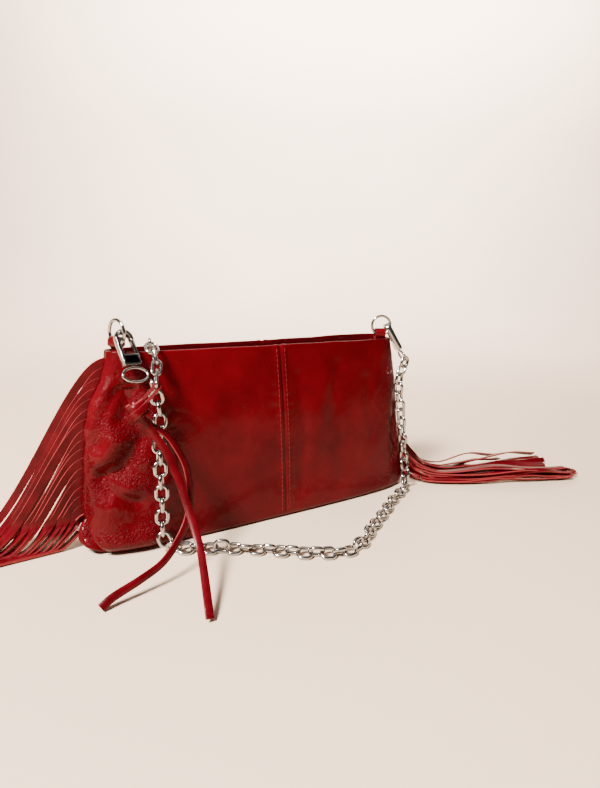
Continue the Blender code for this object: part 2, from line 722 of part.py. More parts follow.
def make_tab_and_ring(side, facts):
    """A leather strap folded over a ring, its two ends down inside the mouth."""
    across = along_floor(facts["tab_turn"])
    ring_centre = Vector(facts["ring"])
    radius = (RING_DIAMETER - RING_WIRE) / 2
    bottom_wire = ring_centre.z - radius
    outline = strap_outline(bottom_wire + 0.0022, BAG_HEIGHT - TAB_FOOT_DEPTH)
    thick = Vector((across.y, -across.x, 0))
    frame = Matrix((
        (thick.x, across.x, 0, facts["tab"][0]),
        (thick.y, across.y, 0, facts["tab"][1]),
        (0, 0, 1, 0),
        (0, 0, 0, 1),
    ))
    leather_piece(f"tab_{side}", prism(f"tab_{side}", outline, TAB_WIDTH / 2, frame))

    plane = along_floor(facts["ring_turn"])
    loop = []
    for k in range(24):
        turn = 2 * math.pi * k / 24
        rise = Vector((0, 0, radius * math.sin(turn)))
        loop.append(ring_centre + plane * radius * math.cos(turn) + rise)
    ring = metal_piece(f"ring_{side}", tube_mesh(f"ring_{side}", loop, RING_WIRE / 2, 8, closed=True))
    carry_origin(ring, (ring_centre.x, ring_centre.y, bottom_wire))


def clasp_frame_matrix(facts):
    """The clasp's own frame: Z up its length, X across it, Y through it, origin on the ring's wire."""
    plane = along_floor(facts["ring_turn"])
    radius = (RING_DIAMETER - RING_WIRE) / 2
    hook_turn = math.radians(facts["hook_turn"])
    hook = Vector(facts["ring"]) + plane * radius * math.cos(hook_turn)
    hook.z += radius * math.sin(hook_turn)
    up = -Vector(facts["hang"]).normalized()
    face = Vector(facts["face"])
    through = -(face - up * face.dot(up)).normalized()
    across = through.cross(up)
    return Matrix((
        (across.x, through.x, up.x, hook.x),
        (across.y, through.y, up.y, hook.y),
        (across.z, through.z, up.z, hook.z),
        (0, 0, 0, 1),
    ))


GATE_PIVOT = (CLASP_WIDTH / 2 - 0.0014, -CLASP_WINDOW - 0.0024)
BLOCK_BOTTOM = -CLASP_WINDOW - CLASP_BLOCK
STUD_HEAD_LOW = BLOCK_BOTTOM + 0.0015
STUD_HEAD_HIGH = BLOCK_BOTTOM + 0.0024


def arc(centre_across, centre_up, radius, start, end, steps):
    points = []
    for k in range(steps + 1):
        turn = math.radians(mix(start, end, k / steps))
        points.append((centre_across + radius * math.cos(turn), centre_up + radius * math.sin(turn)))
    return points


def clasp_body(side, frame):
    """The clasp's frame: a bar, a round head, and a block that holds the gate and the swivel."""
    half = CLASP_WIDTH / 2
    inner = half - CLASP_BAR
    head = CLASP_HEAD + CLASP_BAR - half
    gate_gap_top = -0.0012
    outline = [(-half, BLOCK_BOTTOM + 0.0008), (-half + 0.0008, BLOCK_BOTTOM)]
    outline += [(half - 0.0008, BLOCK_BOTTOM), (half, BLOCK_BOTTOM + 0.0008), (half, -CLASP_WINDOW)]
    outline += [(-inner, -CLASP_WINDOW)]
    inside = arc(0, head, inner, 180, 0, 8)
    outline += inside + [(inner, gate_gap_top), (half, gate_gap_top)]
    outline += arc(0, head, half, 0, 180, 10)
    name = f"clasp_frame_{side}"
    body = metal_piece(name, prism(name, outline, CLASP_THICKNESS / 2, frame))

    slot = box_outline(half - 0.0040, GATE_PIVOT[1] - 0.0021, half + 0.001, -CLASP_WINDOW + 0.001)
    boolean(body, loose(prism("gate_slot", slot, 0.0013, frame)), "DIFFERENCE")
    across, up = GATE_PIVOT
    bores = (
        (PIN_RADIUS + PIN_PLAY, (across, -CLASP_THICKNESS, up), (across, CLASP_THICKNESS, up)),
        (STUD_RADIUS + GAP, (0, 0, BLOCK_BOTTOM - 0.001), (0, 0, BLOCK_BOTTOM + 0.0020)),
        (STUD_HEAD_RADIUS + GAP, (0, 0, STUD_HEAD_LOW - GAP), (0, 0, STUD_HEAD_HIGH + GAP)),
    )
    for number, (radius, start, stop) in enumerate(bores):
        boolean(body, loose(cylinder(f"bore_{number}", radius, start, stop, 12, frame)), "DIFFERENCE")
    carry_origin(body, frame.translation)


def clasp_gate(side, frame):
    """The sprung bar that closes the clasp, the pin it turns on, and the leaf spring behind it."""
    half = CLASP_WIDTH / 2
    across, up = GATE_PIVOT
    bar = box_outline(half - CLASP_BAR + 0.0002, -CLASP_WINDOW + 0.0007, half - 0.0001, -0.0012 - GAP)
    name = f"clasp_gate_{side}"
    gate = metal_piece(name, prism(name, bar, CLASP_THICKNESS / 2 - GATE_RECESS, frame))
    root = arc(across, up, 0.0015, 180, 360, 8)
    root_top = -CLASP_WINDOW + 0.0010
    root += [(half - 0.0002, root_top), (half - CLASP_BAR + 0.0005, root_top)]
    boolean(gate, loose(prism("root", root, 0.0010, frame)), "UNION")
    reach = CLASP_THICKNESS
    bore = cylinder("gate_bore", PIN_RADIUS + PIN_PLAY, (across, -reach, up), (across, reach, up), 12, frame)
    boolean(gate, loose(bore), "DIFFERENCE")
    pivot = frame @ Vector((across, 0, up))
    carry_origin(gate, pivot)

    half_pin = CLASP_THICKNESS / 2 - 0.0001
    ends = (across, -half_pin, up), (across, half_pin, up)
    metal_piece(f"clasp_pin_{side}", cylinder(f"clasp_pin_{side}", PIN_RADIUS, *ends, 12, frame))
    leaf_low, leaf_high = up - 0.0018, -CLASP_WINDOW - 0.0006
    leaf = [(half - 0.0037, leaf_low), (half - 0.0034, leaf_low),
            (half - 0.0031, leaf_high), (half - 0.0034, leaf_high)]
    metal_piece(f"clasp_spring_{side}", prism(f"clasp_spring_{side}", leaf, 0.0008, frame))


def clasp_swivel(side, frame):
    """A headed stud that turns in the block, with an oval eye for the chain."""
    top = BLOCK_BOTTOM - GAP - EYE_WIRE / 2
    centre = top - (EYE_HEIGHT - EYE_WIRE) / 2
    loop = []
    for k in range(20):
        turn = 2 * math.pi * (k + 0.5) / 20
        across = (EYE_WIDTH - EYE_WIRE) / 2 * math.cos(turn)
        up = (EYE_HEIGHT - EYE_WIRE) / 2 * math.sin(turn)
        loop.append(frame @ Vector((across, 0, centre + up)))
    name = f"clasp_swivel_{side}"
    eye = metal_piece(name, tube_mesh(name, loop, EYE_WIRE / 2, 8, closed=True))
    stud = cylinder("stud", STUD_RADIUS, (0, 0, top), (0, 0, STUD_HEAD_HIGH - 0.0005), 10, frame)
    boolean(eye, loose(stud), "UNION")
    head = cylinder("stud_head", STUD_HEAD_RADIUS, (0, 0, STUD_HEAD_LOW), (0, 0, STUD_HEAD_HIGH), 10, frame)
    boolean(eye, loose(head), "UNION")
    carry_origin(eye, frame @ Vector((0, 0, BLOCK_BOTTOM)))


# ---------------------------------------------------------------- chain and fringe
def make_chain():
    """Two runs of chain as tubes of its outer width, joined by one real link in the middle."""
    for side, route in (("left", CHAIN_LEFT_ROUTE), ("right", CHAIN_RIGHT_ROUTE)):
        cord(f"chain_{side}", route, CHAIN_TUBE_RADIUS, CHAIN_CORD_SPACING, SILVER, 0.15, 1.0)
    way = Vector(CHAIN_RIGHT_ROUTE[0]) - Vector(CHAIN_LEFT_ROUTE[-1])
    way.normalize()
    side = way.cross(Vector((0, 0, 1))).normalized()
    wide = (side + Vector((0, 0, 1))).normalized()
    metal_piece("chain_middle_link", link_mesh("chain_middle_link", CHAIN_MIDDLE, way, wide))


def bezier(points, t):
    while len(points) > 1:
        points = [a.lerp(b, t) for a, b in zip(points, points[1:])]
    return points[0]


def strip_line(facts, share, samples):
    """The path of a strip from its place on the seam: it arcs down, then lies on the floor."""
    sign = facts["sign"]
    height = mix(FRINGE_BOTTOM, FRINGE_TOP, share)
    half_length, _, middle = outline_size(height)
    root = Vector((middle + sign * (half_length + FRINGE_STAND_OFF), 0, height))
    front, back = facts["fan_front"], facts["fan_back"]
    end = Vector((mix(front[0], back[0], share), mix(front[1], back[1], share), 0))
    reach = facts["reach"] * height + facts["reach_low"]
    drop = height - FRINGE_THICKNESS
    (leave_out, leave_down), (land_out, land_down) = facts["leave"], facts["land"]
    fall = [Vector((0, 0)), Vector((reach * leave_out, leave_down * drop)),
            Vector((reach * land_out, land_down * drop)), Vector((reach, drop))]
    far = abs(end.x - root.x)
    track = [bezier(fall, k / 40) for k in range(41)]
    track += [Vector((mix(reach, far * FRINGE_OVERRUN, k / 10), drop)) for k in range(1, 11)]
    dense = []
    for out, down in track:
        aside = end.y * (out / far) ** FRINGE_SPREAD
        dense.append(root + Vector((sign * out, aside, -down)))
    stops = [FRINGE_LENGTH * (k / (samples - 1)) ** FRINGE_SAMPLE_POWER for k in range(samples)]
    return points_along(dense, stops)


def make_fringe(side, facts):
    """A comb of leather: a header inside the seam, and strips that fan out on the floor."""
    samples = 18
    lines = [strip_line(facts, (k + 0.5) / FRINGE_STRIPS, samples) for k in range(FRINGE_STRIPS)]
    pitch = (FRINGE_TOP - FRINGE_BOTTOM) / FRINGE_STRIPS
    sign = facts["sign"]
    upward = Vector((0, 0, (pitch - FRINGE_CUT) / 2))
    seam = Vector((0, -sign, 0))
    sections = []
    for strip, line in enumerate(lines):
        below, above = lines[max(strip - 1, 0)], lines[min(strip + 1, FRINGE_STRIPS - 1)]
        steps = 1 if strip in (0, FRINGE_STRIPS - 1) else 2
        section = [(line[0] - Vector((sign * FRINGE_HEADER, 0, 0)), upward, seam)]
        section.append((line[0], upward, seam))
        for step in range(1, samples):
            tangent = (line[min(step + 1, samples - 1)] - line[step - 1]).normalized()
            wide = (above[step] - below[step]) / steps
            wide -= tangent * wide.dot(tangent)
            half_width = min(FRINGE_FLOOR_WIDTH, wide.length - FRINGE_FLOOR_GAP) / 2
            wide.normalize()
            normal = tangent.cross(wide)
            section.append((line[step], wide * half_width, normal))
        sections.append(section)

    def place(column, row, layer):
        strip, edge = divmod(row, 2)
        middle, wide, normal = sections[strip][column]
        side, face = (1 if edge else -1), (1 if layer else -1)
        return middle + wide * side + normal * (face * FRINGE_THICKNESS / 2)

    rows = 2 * FRINGE_STRIPS - 1
    cells = [(0, row) for row in range(rows)]
    cells += [(column, row) for row in range(0, rows, 2) for column in range(1, samples)]
    comb = leather_piece(f"fringe_{side}", sheet_solid(f"fringe_{side}", cells, place))
    seed_at = lines[FRINGE_STRIPS // 2][0] - Vector((sign * FRINGE_HEADER / 2, 0, 0))
    seed = box_outline(-FRINGE_HEADER / 4, -FRINGE_HEADER / 2, FRINGE_HEADER / 4, FRINGE_HEADER / 2)
    seed = prism("seed", seed, FRINGE_THICKNESS / 4, Matrix.Translation(seed_at))
    boolean(comb, loose(seed), "UNION", own_crossings=True)


# ---------------------------------------------------------------- build
def main():
    for piece in list(bpy.data.objects):
        bpy.data.objects.remove(piece)
    make_shell()
    make_lining()
    make_zip()
    make_slider()
    make_pull()
    make_tassel()
    for side, facts in SIDES.items():
        make_tab_and_ring(side, facts)
        frame = clasp_frame_matrix(facts)
        clasp_body(side, frame)
        clasp_gate(side, frame)
        clasp_swivel(side, frame)
        make_fringe(side, facts)
    make_chain()


main()
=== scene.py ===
"""The looks of a fringed leather clutch purse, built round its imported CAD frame."""
import math

import bmesh
import bpy
import numpy as np
from mathutils import Matrix, Vector


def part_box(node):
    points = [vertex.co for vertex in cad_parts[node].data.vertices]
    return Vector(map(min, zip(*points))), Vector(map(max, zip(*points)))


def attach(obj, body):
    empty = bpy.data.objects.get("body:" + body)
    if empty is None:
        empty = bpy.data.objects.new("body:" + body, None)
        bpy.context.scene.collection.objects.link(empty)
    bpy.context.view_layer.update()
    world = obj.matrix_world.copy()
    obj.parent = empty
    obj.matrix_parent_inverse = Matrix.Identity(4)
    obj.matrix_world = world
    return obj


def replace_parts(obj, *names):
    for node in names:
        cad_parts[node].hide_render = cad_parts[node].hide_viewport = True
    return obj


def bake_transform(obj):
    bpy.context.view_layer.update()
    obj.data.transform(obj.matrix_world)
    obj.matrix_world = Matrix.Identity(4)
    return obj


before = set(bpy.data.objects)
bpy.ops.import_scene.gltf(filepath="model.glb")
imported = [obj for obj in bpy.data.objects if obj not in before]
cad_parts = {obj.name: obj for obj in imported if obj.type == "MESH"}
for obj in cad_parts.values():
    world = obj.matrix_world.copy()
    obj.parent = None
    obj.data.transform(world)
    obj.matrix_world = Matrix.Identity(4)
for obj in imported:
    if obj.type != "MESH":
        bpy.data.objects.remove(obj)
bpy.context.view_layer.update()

CAMERA_PLACE, CAMERA_LENS = (-0.1889, -0.3552, 0.1939), 21.93
CAMERA_YAW, CAMERA_DOWN, CAMERA_ROLL = 31.66, 12.84, 2.02

BAG_HEIGHT = 0.146
RIM_LENGTH, RIM_DEPTH, RIM_SHIFT = 0.259, 0.033, -0.004
BASE_LENGTH, BASE_DEPTH, BELLY = 0.298, 0.061, 0.003
SQUARENESS = 4.0
ZIP_HEIGHT, ZIP_MIDDLE, ZIP_HALF_LENGTH = 0.1395, -0.005, 0.108
LINK_LENGTH, LINK_WIDTH, LINK_WIRE = 0.0127, 0.0100, 0.0022
PULL_LINK_WIDTH = 0.0080
LINK_PLAY = 0.0003
FLOOR_CLEARANCE = 0.0002
LYING_BELOW = 0.0062
LINK_SAMPLES = 28
RING_RADIUS, RING_WIRE = 0.00875, 0.0025
TAIL_WIDTH = 0.0052

CHAIN_LEFT_ROUTE = [
    (-0.1046, -0.0270, 0.1190), (-0.1032, -0.0268, 0.1120), (-0.1018, -0.0270, 0.1030),
    (-0.1022, -0.0285, 0.0900), (-0.1040, -0.0305, 0.0760), (-0.1040, -0.0322, 0.0650),
    (-0.1040, -0.0340, 0.0500), (-0.1046, -0.0358, 0.0340), (-0.1050, -0.0372, 0.0210),
    (-0.1040, -0.0384, 0.0110), (-0.0990, -0.0412, 0.0056), (-0.0900, -0.0452, 0.0048),
    (-0.0800, -0.0500, 0.0048), (-0.0670, -0.0570, 0.0048), (-0.0550, -0.0638, 0.0048),
    (-0.0430, -0.0712, 0.0048), (-0.0320, -0.0795, 0.0048), (-0.0215, -0.0875, 0.0048),
]
CHAIN_MIDDLE = (-0.0152, -0.0918, 0.0048)
LEFT_EYE = (-0.1075, -0.0285, 0.1262)
CHAIN_RIGHT_ROUTE = [
    (-0.0090, -0.0958, 0.0048), (0.0030, -0.1010, 0.0048), (0.0150, -0.1030, 0.0048),
    (0.0280, -0.0998, 0.0048), (0.0400, -0.0925, 0.0048), (0.0520, -0.0840, 0.0048),
    (0.0660, -0.0750, 0.0048), (0.0800, -0.0666, 0.0048), (0.0930, -0.0580, 0.0048),
    (0.1060, -0.0500, 0.0048), (0.1180, -0.0440, 0.0048), (0.1290, -0.0375, 0.0056),
    (0.1360, -0.0315, 0.0120), (0.1378, -0.0270, 0.0250), (0.1372, -0.0242, 0.0410),
    (0.1358, -0.0225, 0.0580), (0.1336, -0.0213, 0.0740), (0.1306, -0.0205, 0.0900),
    (0.1288, -0.0198, 0.1030), (0.1300, -0.0192, 0.1130), (0.1352, -0.0182, 0.1235), (0.1372, -0.0178, 0.1290),
]
TAIL_FRONT_ROUTE = [
    (-0.1176, -0.0424, 0.1050), (-0.1112, -0.0450, 0.0945), (-0.1044, -0.0490, 0.0816),
    (-0.1004, -0.0535, 0.0699), (-0.0972, -0.0585, 0.0589), (-0.0952, -0.0690, 0.0437),
    (-0.0943, -0.0850, 0.0275), (-0.0964, -0.0970, 0.0203), (-0.0990, -0.1090, 0.0134),
    (-0.1011, -0.1185, 0.0075), (-0.1022, -0.1240, 0.0028),
]
TAIL_BACK_ROUTE = [
    (-0.1152, -0.0404, 0.1030), (-0.1105, -0.0414, 0.0985), (-0.1040, -0.0435, 0.0930),
    (-0.0984, -0.0460, 0.0858), (-0.0922, -0.0510, 0.0721), (-0.0903, -0.0550, 0.0586),
    (-0.0907, -0.0575, 0.0499), (-0.0944, -0.0625, 0.0370), (-0.1036, -0.0690, 0.0253),
    (-0.1154, -0.0750, 0.0162), (-0.1301, -0.0790, 0.0112), (-0.1477, -0.0825, 0.0066),
    (-0.1552, -0.0842, 0.0028),
]
PULL_OVER_RIM = Vector((-0.1035, -0.0182, 0.1472))
PULL_LEAN = Vector((0.0, -0.80, -0.60)).normalized()
PULL_BARS = [(-0.1026, -0.0267, 0.1370), (-0.1046, -0.0316, 0.1310), (-0.1062, -0.0366, 0.1255)]
BAIL = Vector((-0.100, 0.0, 0.1464))
KNOT_CENTRE = Vector((-0.1196, -0.0412, 0.1110))


def mix(a, b, t):
    return a + (b - a) * t


def ease(t):
    t = np.clip(t, 0, 1)
    return t * t * (3 - 2 * t)


def gradient_noise(points, seed):
    """Smooth noise of about -1 to 1 at each row of points."""
    rng = np.random.default_rng(seed)
    table = rng.permutation(256)
    slopes = rng.normal(size=(256, 3))
    slopes /= np.linalg.norm(slopes, axis=1)[:, None]
    cell = np.floor(points).astype(int)
    part = points - cell
    blend = part ** 3 * (part * (part * 6 - 15) + 10)
    total = np.zeros(len(points))
    for corner in range(8):
        step = np.array([(corner >> k) & 1 for k in range(3)])
        at = (cell + step) & 255
        pick = table[(table[(table[at[:, 0]] + at[:, 1]) & 255] + at[:, 2]) & 255]
        lift = ((part - step) * slopes[pick]).sum(1)
        total += lift * np.prod(np.where(step == 1, blend, 1 - blend), axis=1)
    return total * 1.7


# ---------------------------------------------------------------- camera, floor and lights
def look_matrix(place, yaw, pitch, roll):
    yaw, pitch, roll = (math.radians(v) for v in (yaw, pitch, roll))
    forward = Vector((math.sin(yaw) * math.cos(pitch), math.cos(yaw) * math.cos(pitch), -math.sin(pitch)))
    right = Vector((math.cos(yaw), -math.sin(yaw), 0))
    up = right.cross(forward)
    turned = right * math.cos(roll) + up * math.sin(roll)
    upward = -right * math.sin(roll) + up * math.cos(roll)
    matrix = Matrix((turned, upward, -forward)).transposed().to_4x4()
    matrix.translation = Vector(place)
    return matrix


def make_camera():
    data = bpy.data.cameras.new("camera")
    data.lens = CAMERA_LENS
    data.sensor_width = 36
    data.clip_start = 0.01
    camera = bpy.data.objects.new("camera", data)
    camera.matrix_world = look_matrix(CAMERA_PLACE, CAMERA_YAW, CAMERA_DOWN, CAMERA_ROLL)
    bpy.context.collection.objects.link(camera)
    bpy.context.scene.camera = camera


def area_light(name, place, aim, size, power, colour):
    data = bpy.data.lights.new(name, "AREA")
    data.shape = "RECTANGLE"
    data.size, data.size_y = size
    data.energy = power
    data.color = colour
    light = bpy.data.objects.new(name, data)
    way = Vector(aim) - Vector(place)
    light.matrix_world = Matrix.Translation(place) @ way.to_track_quat("-Z", "Y").to_matrix().to_4x4()
    bpy.context.collection.objects.link(light)


class Shader:
    """A material under construction: short calls that add and join nodes."""

    def __init__(self, name):
        self.material = bpy.data.materials.new(name)
        self.material.use_nodes = True
        self.tree = self.material.node_tree
        self.base = self.tree.nodes["Principled BSDF"]

    def node(self, kind, inputs=None, **settings):
        made = self.tree.nodes.new(kind)
        for key, value in settings.items():
            setattr(made, key, value)
        for key, value in (inputs or {}).items():
            self.join(value, made.inputs[key])
        return made

    def join(self, value, socket):
        if isinstance(value, bpy.types.NodeSocket):
            self.tree.links.new(value, socket)
        else:
            socket.default_value = value

    def set(self, **values):
        for key, value in values.items():
            self.join(value, self.base.inputs[key.replace("_", " ")])

    def place(self):
        return self.node("ShaderNodeTexCoord").outputs["Object"]

    def noise(self, scale, detail=3.0, rough=0.5, at=None, stretch=None):
        at = at or self.place()
        if stretch:
            at = self.node("ShaderNodeMapping", {"Vector": at, "Scale": stretch}).outputs[0]
        inputs = {"Vector": at, "Scale": scale, "Detail": detail, "Roughness": rough}
        return self.node("ShaderNodeTexNoise", inputs).outputs["Fac"]

    def ramp(self, value, low, high, out_low=0.0, out_high=1.0):
        made = self.node("ShaderNodeMapRange", {
            "Value": value, "From Min": low, "From Max": high, "To Min": out_low, "To Max": out_high})
        return made.outputs["Result"]

    def maths(self, operation, a, b):
        made = self.node("ShaderNodeMath", operation=operation)
        self.join(a, made.inputs[0])
        self.join(b, made.inputs[1])
        return made.outputs[0]

    def blend(self, factor, a, b):
        made = self.node("ShaderNodeMix", data_type="RGBA")
        self.join(factor, made.inputs["Factor"])
        for value, socket in ((a, made.inputs[6]), (b, made.inputs[7])):
            self.join((*value, 1.0) if isinstance(value, tuple) else value, socket)
        return made.outputs[2]

    def bump(self, layers):
        """Chain of bumps: (height, strength, distance) each."""
        normal = None
        for height, strength, distance in layers:
            inputs = {"Height": height, "Strength": strength, "Distance": distance}
            if normal:
                inputs["Normal"] = normal
            normal = self.node("ShaderNodeBump", inputs).outputs[0]
        self.join(normal, self.base.inputs["Normal"])


def floor_material():
    s = Shader("floor_paper")
    cloud = s.noise(1.6, 2.0)
    s.set(Base_Color=s.blend(s.ramp(cloud, 0.3, 0.7), (0.60, 0.475, 0.355), (0.65, 0.515, 0.385)), Roughness=0.62)
    s.bump([(s.noise(900.0, 2.0), 0.06, 0.0004)])
    return s.material


def make_stage():
    """A seamless sweep: floor, curve and wall in one sheet."""
    curve_start, curve_radius = 1.1, 0.9
    profile = [(-3.0, 0.0), (0.0, 0.0), (curve_start, 0.0)]
    for k in range(1, 13):
        turn = math.pi / 2 * k / 12
        profile.append((curve_start + curve_radius * math.sin(turn), curve_radius * (1 - math.cos(turn))))
    profile.append((curve_start + curve_radius, 4.5))
    way = Vector((math.sin(math.radians(CAMERA_YAW)), math.cos(math.radians(CAMERA_YAW)), 0))
    side = Vector((way.y, -way.x, 0))
    bm = bmesh.new()
    columns = [[bm.verts.new(way * along + side * out + Vector((0, 0, up))) for along, up in profile]
               for out in (-4.0, -1.0, 1.0, 4.0)]
    for left, right in zip(columns, columns[1:]):
        for k in range(len(profile) - 1):
            bm.faces.new((left[k], right[k], right[k + 1], left[k + 1]))
    mesh = bpy.data.meshes.new("sweep")
    bm.to_mesh(mesh)
    bm.free()
    mesh.shade_smooth()
    mesh.materials.append(floor_material())
    sweep = bpy.data.objects.new("sweep", mesh)
    bpy.context.collection.objects.link(sweep)

    world = bpy.data.worlds.new("studio")
    world.use_nodes = True
    world.node_tree.nodes["Background"].inputs[0].default_value = (0.97, 0.95, 0.93, 1)
    world.node_tree.nodes["Background"].inputs[1].default_value = 0.09
    bpy.context.scene.world = world
    area_light("key", (-1.00, -0.45, 1.25), (0.0, 0.0, 0.05), (0.34, 0.34), 146.0, (1.0, 0.90, 0.82))
    area_light("top", (0.1, 0.45, 1.9), (0.1, 0.25, 0.0), (1.8, 1.4), 9.0, (1.0, 0.92, 0.88))
    area_light("wall", (0.7, 1.0, 1.6), (1.15, 1.95, 0.8), (2.6, 0.8), 220.0, (1.0, 0.94, 0.96))


# ---------------------------------------------------------------- materials
def patent_leather(name, red=(0.078, 0.0012, 0.0040), deep=(0.040, 0.0004, 0.0018), crinkle=1.0, rough=0.36):
    """Crinkled patent leather: a varnished skin over small creases, with painted shade in the creases."""
    s = Shader(name)
    at = s.place()
    warp = s.node("ShaderNodeTexNoise", {"Vector": at, "Scale": 60.0, "Detail": 3.0})
    bent = s.node("ShaderNodeMixRGB", {"Color1": at, "Color2": warp.outputs["Color"], "Fac": 0.012}).outputs[0]
    cells = s.node("ShaderNodeTexVoronoi", {"Vector": bent, "Scale": 420.0}, feature="DISTANCE_TO_EDGE").outputs[0]
    fine = s.node("ShaderNodeTexVoronoi", {"Vector": bent, "Scale": 950.0}, feature="DISTANCE_TO_EDGE").outputs[0]
    creased = s.node("ShaderNodeAttribute", attribute_name="crinkle").outputs["Fac"]
    patch = s.ramp(s.noise(38.0, 3.0, at=at), 0.42, 0.62, 0.15, 1.0)
    amount = s.maths("MULTIPLY", s.maths("ADD", creased, 0.10), s.maths("MULTIPLY", patch, crinkle))
    folds = s.noise(150.0, 4.0, 0.6, at=bent)
    shade = s.ramp(s.noise(22.0, 4.0, 0.6, at=at), 0.3, 0.7)
    colour = s.blend(shade, deep, red)
    # Painted shade: the colour is pulled towards the deep red along the crease lines of the cells, the more so where
    # the leather is crinkled.
    colour = s.blend(s.maths("MULTIPLY", s.ramp(cells, 0.0, 0.06, 0.55, 0.0), amount), colour, deep)
    s.set(Base_Color=colour, Roughness=s.ramp(s.noise(300.0, 3.0, at=at), 0.3, 0.7, rough - 0.05, rough + 0.07),
          Coat_Weight=s.ramp(creased, 0.15, 0.9, 0.10, 0.13), Coat_Roughness=0.09, Coat_IOR=1.5,
          Specular_IOR_Level=0.04)
    s.bump([(s.ramp(cells, 0.0, 0.22), s.maths("MULTIPLY", amount, 0.60), 0.0006),
            (folds, s.maths("MULTIPLY", amount, 0.60), 0.0014),
            (fine, s.maths("MULTIPLY", amount, 0.55), 0.0004),
            (s.noise(1500.0, 2.0, at=at), 0.05, 0.0002)])
    return s.material


def strap_leather(name, red=(0.095, 0.002, 0.0050), deep=(0.050, 0.0008, 0.0024), rough=0.33, coat=0.12):
    """Smoother leather of the strips, straps and tassel."""
    s = Shader(name)
    at = s.place()
    shade = s.ramp(s.noise(60.0, 4.0, 0.6, at=at), 0.3, 0.7)
    s.set(Base_Color=s.blend(shade, deep, red), Coat_Weight=coat, Coat_Roughness=0.16, Specular_IOR_Level=0.06,
          Roughness=s.ramp(s.noise(500.0, 3.0, at=at), 0.3, 0.7, rough - 0.06, rough + 0.08))
    pores = s.node("ShaderNodeTexVoronoi", {"Vector": at, "Scale": 1400.0}).outputs[0]
    s.bump([(s.noise(210.0, 3.0, at=at), 0.25, 0.0008), (pores, 0.12, 0.0002)])
    return s.material


def raw_leather(name, tone=(0.11, 0.009, 0.011), dark=(0.06, 0.003, 0.004)):
    """The fibrous flesh side and the cut edges."""
    s = Shader(name)
    at = s.place()
    fibre = s.noise(900.0, 4.0, 0.7, at=at)
    s.set(Base_Color=s.blend(s.ramp(fibre, 0.3, 0.7), dark, tone), Roughness=0.85, Sheen_Weight=0.08,
          Sheen_Roughness=0.4, Specular_IOR_Level=0.12)
    s.bump([(fibre, 0.5, 0.0005)])
    return s.material


def woven(name, tone, dark, scale=1500.0):
    s = Shader(name)
    at = s.place()
    bands = []
    for way in ("X", "Z"):
        made = s.node("ShaderNodeTexWave", {"Vector": at, "Scale": scale / 6.28, "Distortion": 0.4, "Detail": 1.0},
                      bands_direction=way)
        bands.append(made.outputs["Fac"])
    weave = s.maths("MULTIPLY", bands[0], bands[1])
    # Painted shade: darker in the hollows between the threads, where the weave's bump is low; the noise adds tone
    # that differs at random.
    s.set(Base_Color=s.blend(s.ramp(s.maths("ADD", weave, s.noise(200.0, 3.0, at=at)), 0.3, 1.3), dark, tone),
          Roughness=0.8, Sheen_Weight=0.06, Specular_IOR_Level=0.12)
    s.bump([(weave, 0.6, 0.0003)])
    return s.material


def polished_metal(name, tone=(0.40, 0.395, 0.385), rough=0.10):
    s = Shader(name)
    at = s.place()
    rub = s.noise(420.0, 5.0, 0.65, at=at)
    scratch = s.noise(260.0, 4.0, 0.7, at=at, stretch=(1.0, 9.0, 2.0))
    s.set(Base_Color=s.blend(s.ramp(rub, 0.35, 0.7), tone, tuple(0.90 * v for v in tone)), Metallic=1.0,
          Roughness=s.ramp(scratch, 0.35, 0.75, rough, rough + 0.13))
    s.bump([(scratch, 0.04, 0.0002), (s.noise(120.0, 2.0, at=at), 0.10, 0.0006)])
    return s.material


def thread(name, tone=(0.14, 0.004, 0.005)):
    s = Shader(name)
    at = s.place()
    twist = s.node("ShaderNodeTexWave", {"Vector": at, "Scale": 420.0, "Distortion": 1.5},
                   bands_direction="DIAGONAL").outputs["Fac"]
    # Painted shade: the thread is darker in the grooves of its twist, where the bump below is lowest.
    s.set(Base_Color=s.blend(twist, tuple(0.55 * v for v in tone), tone), Roughness=0.6, Sheen_Weight=0.06,
          Specular_IOR_Level=0.15)
    s.bump([(twist, 0.5, 0.0002)])
    return s.material


MATERIALS = {}
STRIP_RED, STRIP_DEEP = (0.078, 0.0016, 0.0048), (0.036, 0.0004, 0.0018)


def finish(key):
    """Each material is made once, when it is first used."""
    if key not in MATERIALS:
        MATERIALS[key] = {
            "patent": lambda: patent_leather("patent_leather"),
            "patent_inside": lambda: patent_leather("patent_facing", crinkle=0.5, rough=0.40),
            "strap": lambda: strap_leather("strap_leather"),
            "strip": lambda: strap_leather("strip_leather", STRIP_RED, STRIP_DEEP, 0.34, 0.07),
            "raw": lambda: raw_leather("raw_edge"),
            "raw_pale": lambda: raw_leather("cut_edge", (0.20, 0.022, 0.024), (0.11, 0.008, 0.009)),
            "lining": lambda: woven("lining_weave", (0.08, 0.003, 0.004), (0.03, 0.001, 0.0015)),
            "tape": lambda: woven("tape_weave", (0.09, 0.003, 0.004), (0.045, 0.001, 0.0016), 2600.0),
            "board": lambda: raw_leather("board_fibre", (0.30, 0.22, 0.15), (0.20, 0.14, 0.09)),
            "metal": lambda: polished_metal("polished_steel"),
            # Painted reflection: near-black metal standing in for the dark surroundings mirrored in the clasp's
            # block.
            "painted_reflection_metal": lambda: polished_metal("painted_dark_reflection", (0.006, 0.0055, 0.006), 0.05),
            "thread": lambda: thread("sewing_thread"),
        }[key]()
    return MATERIALS[key]


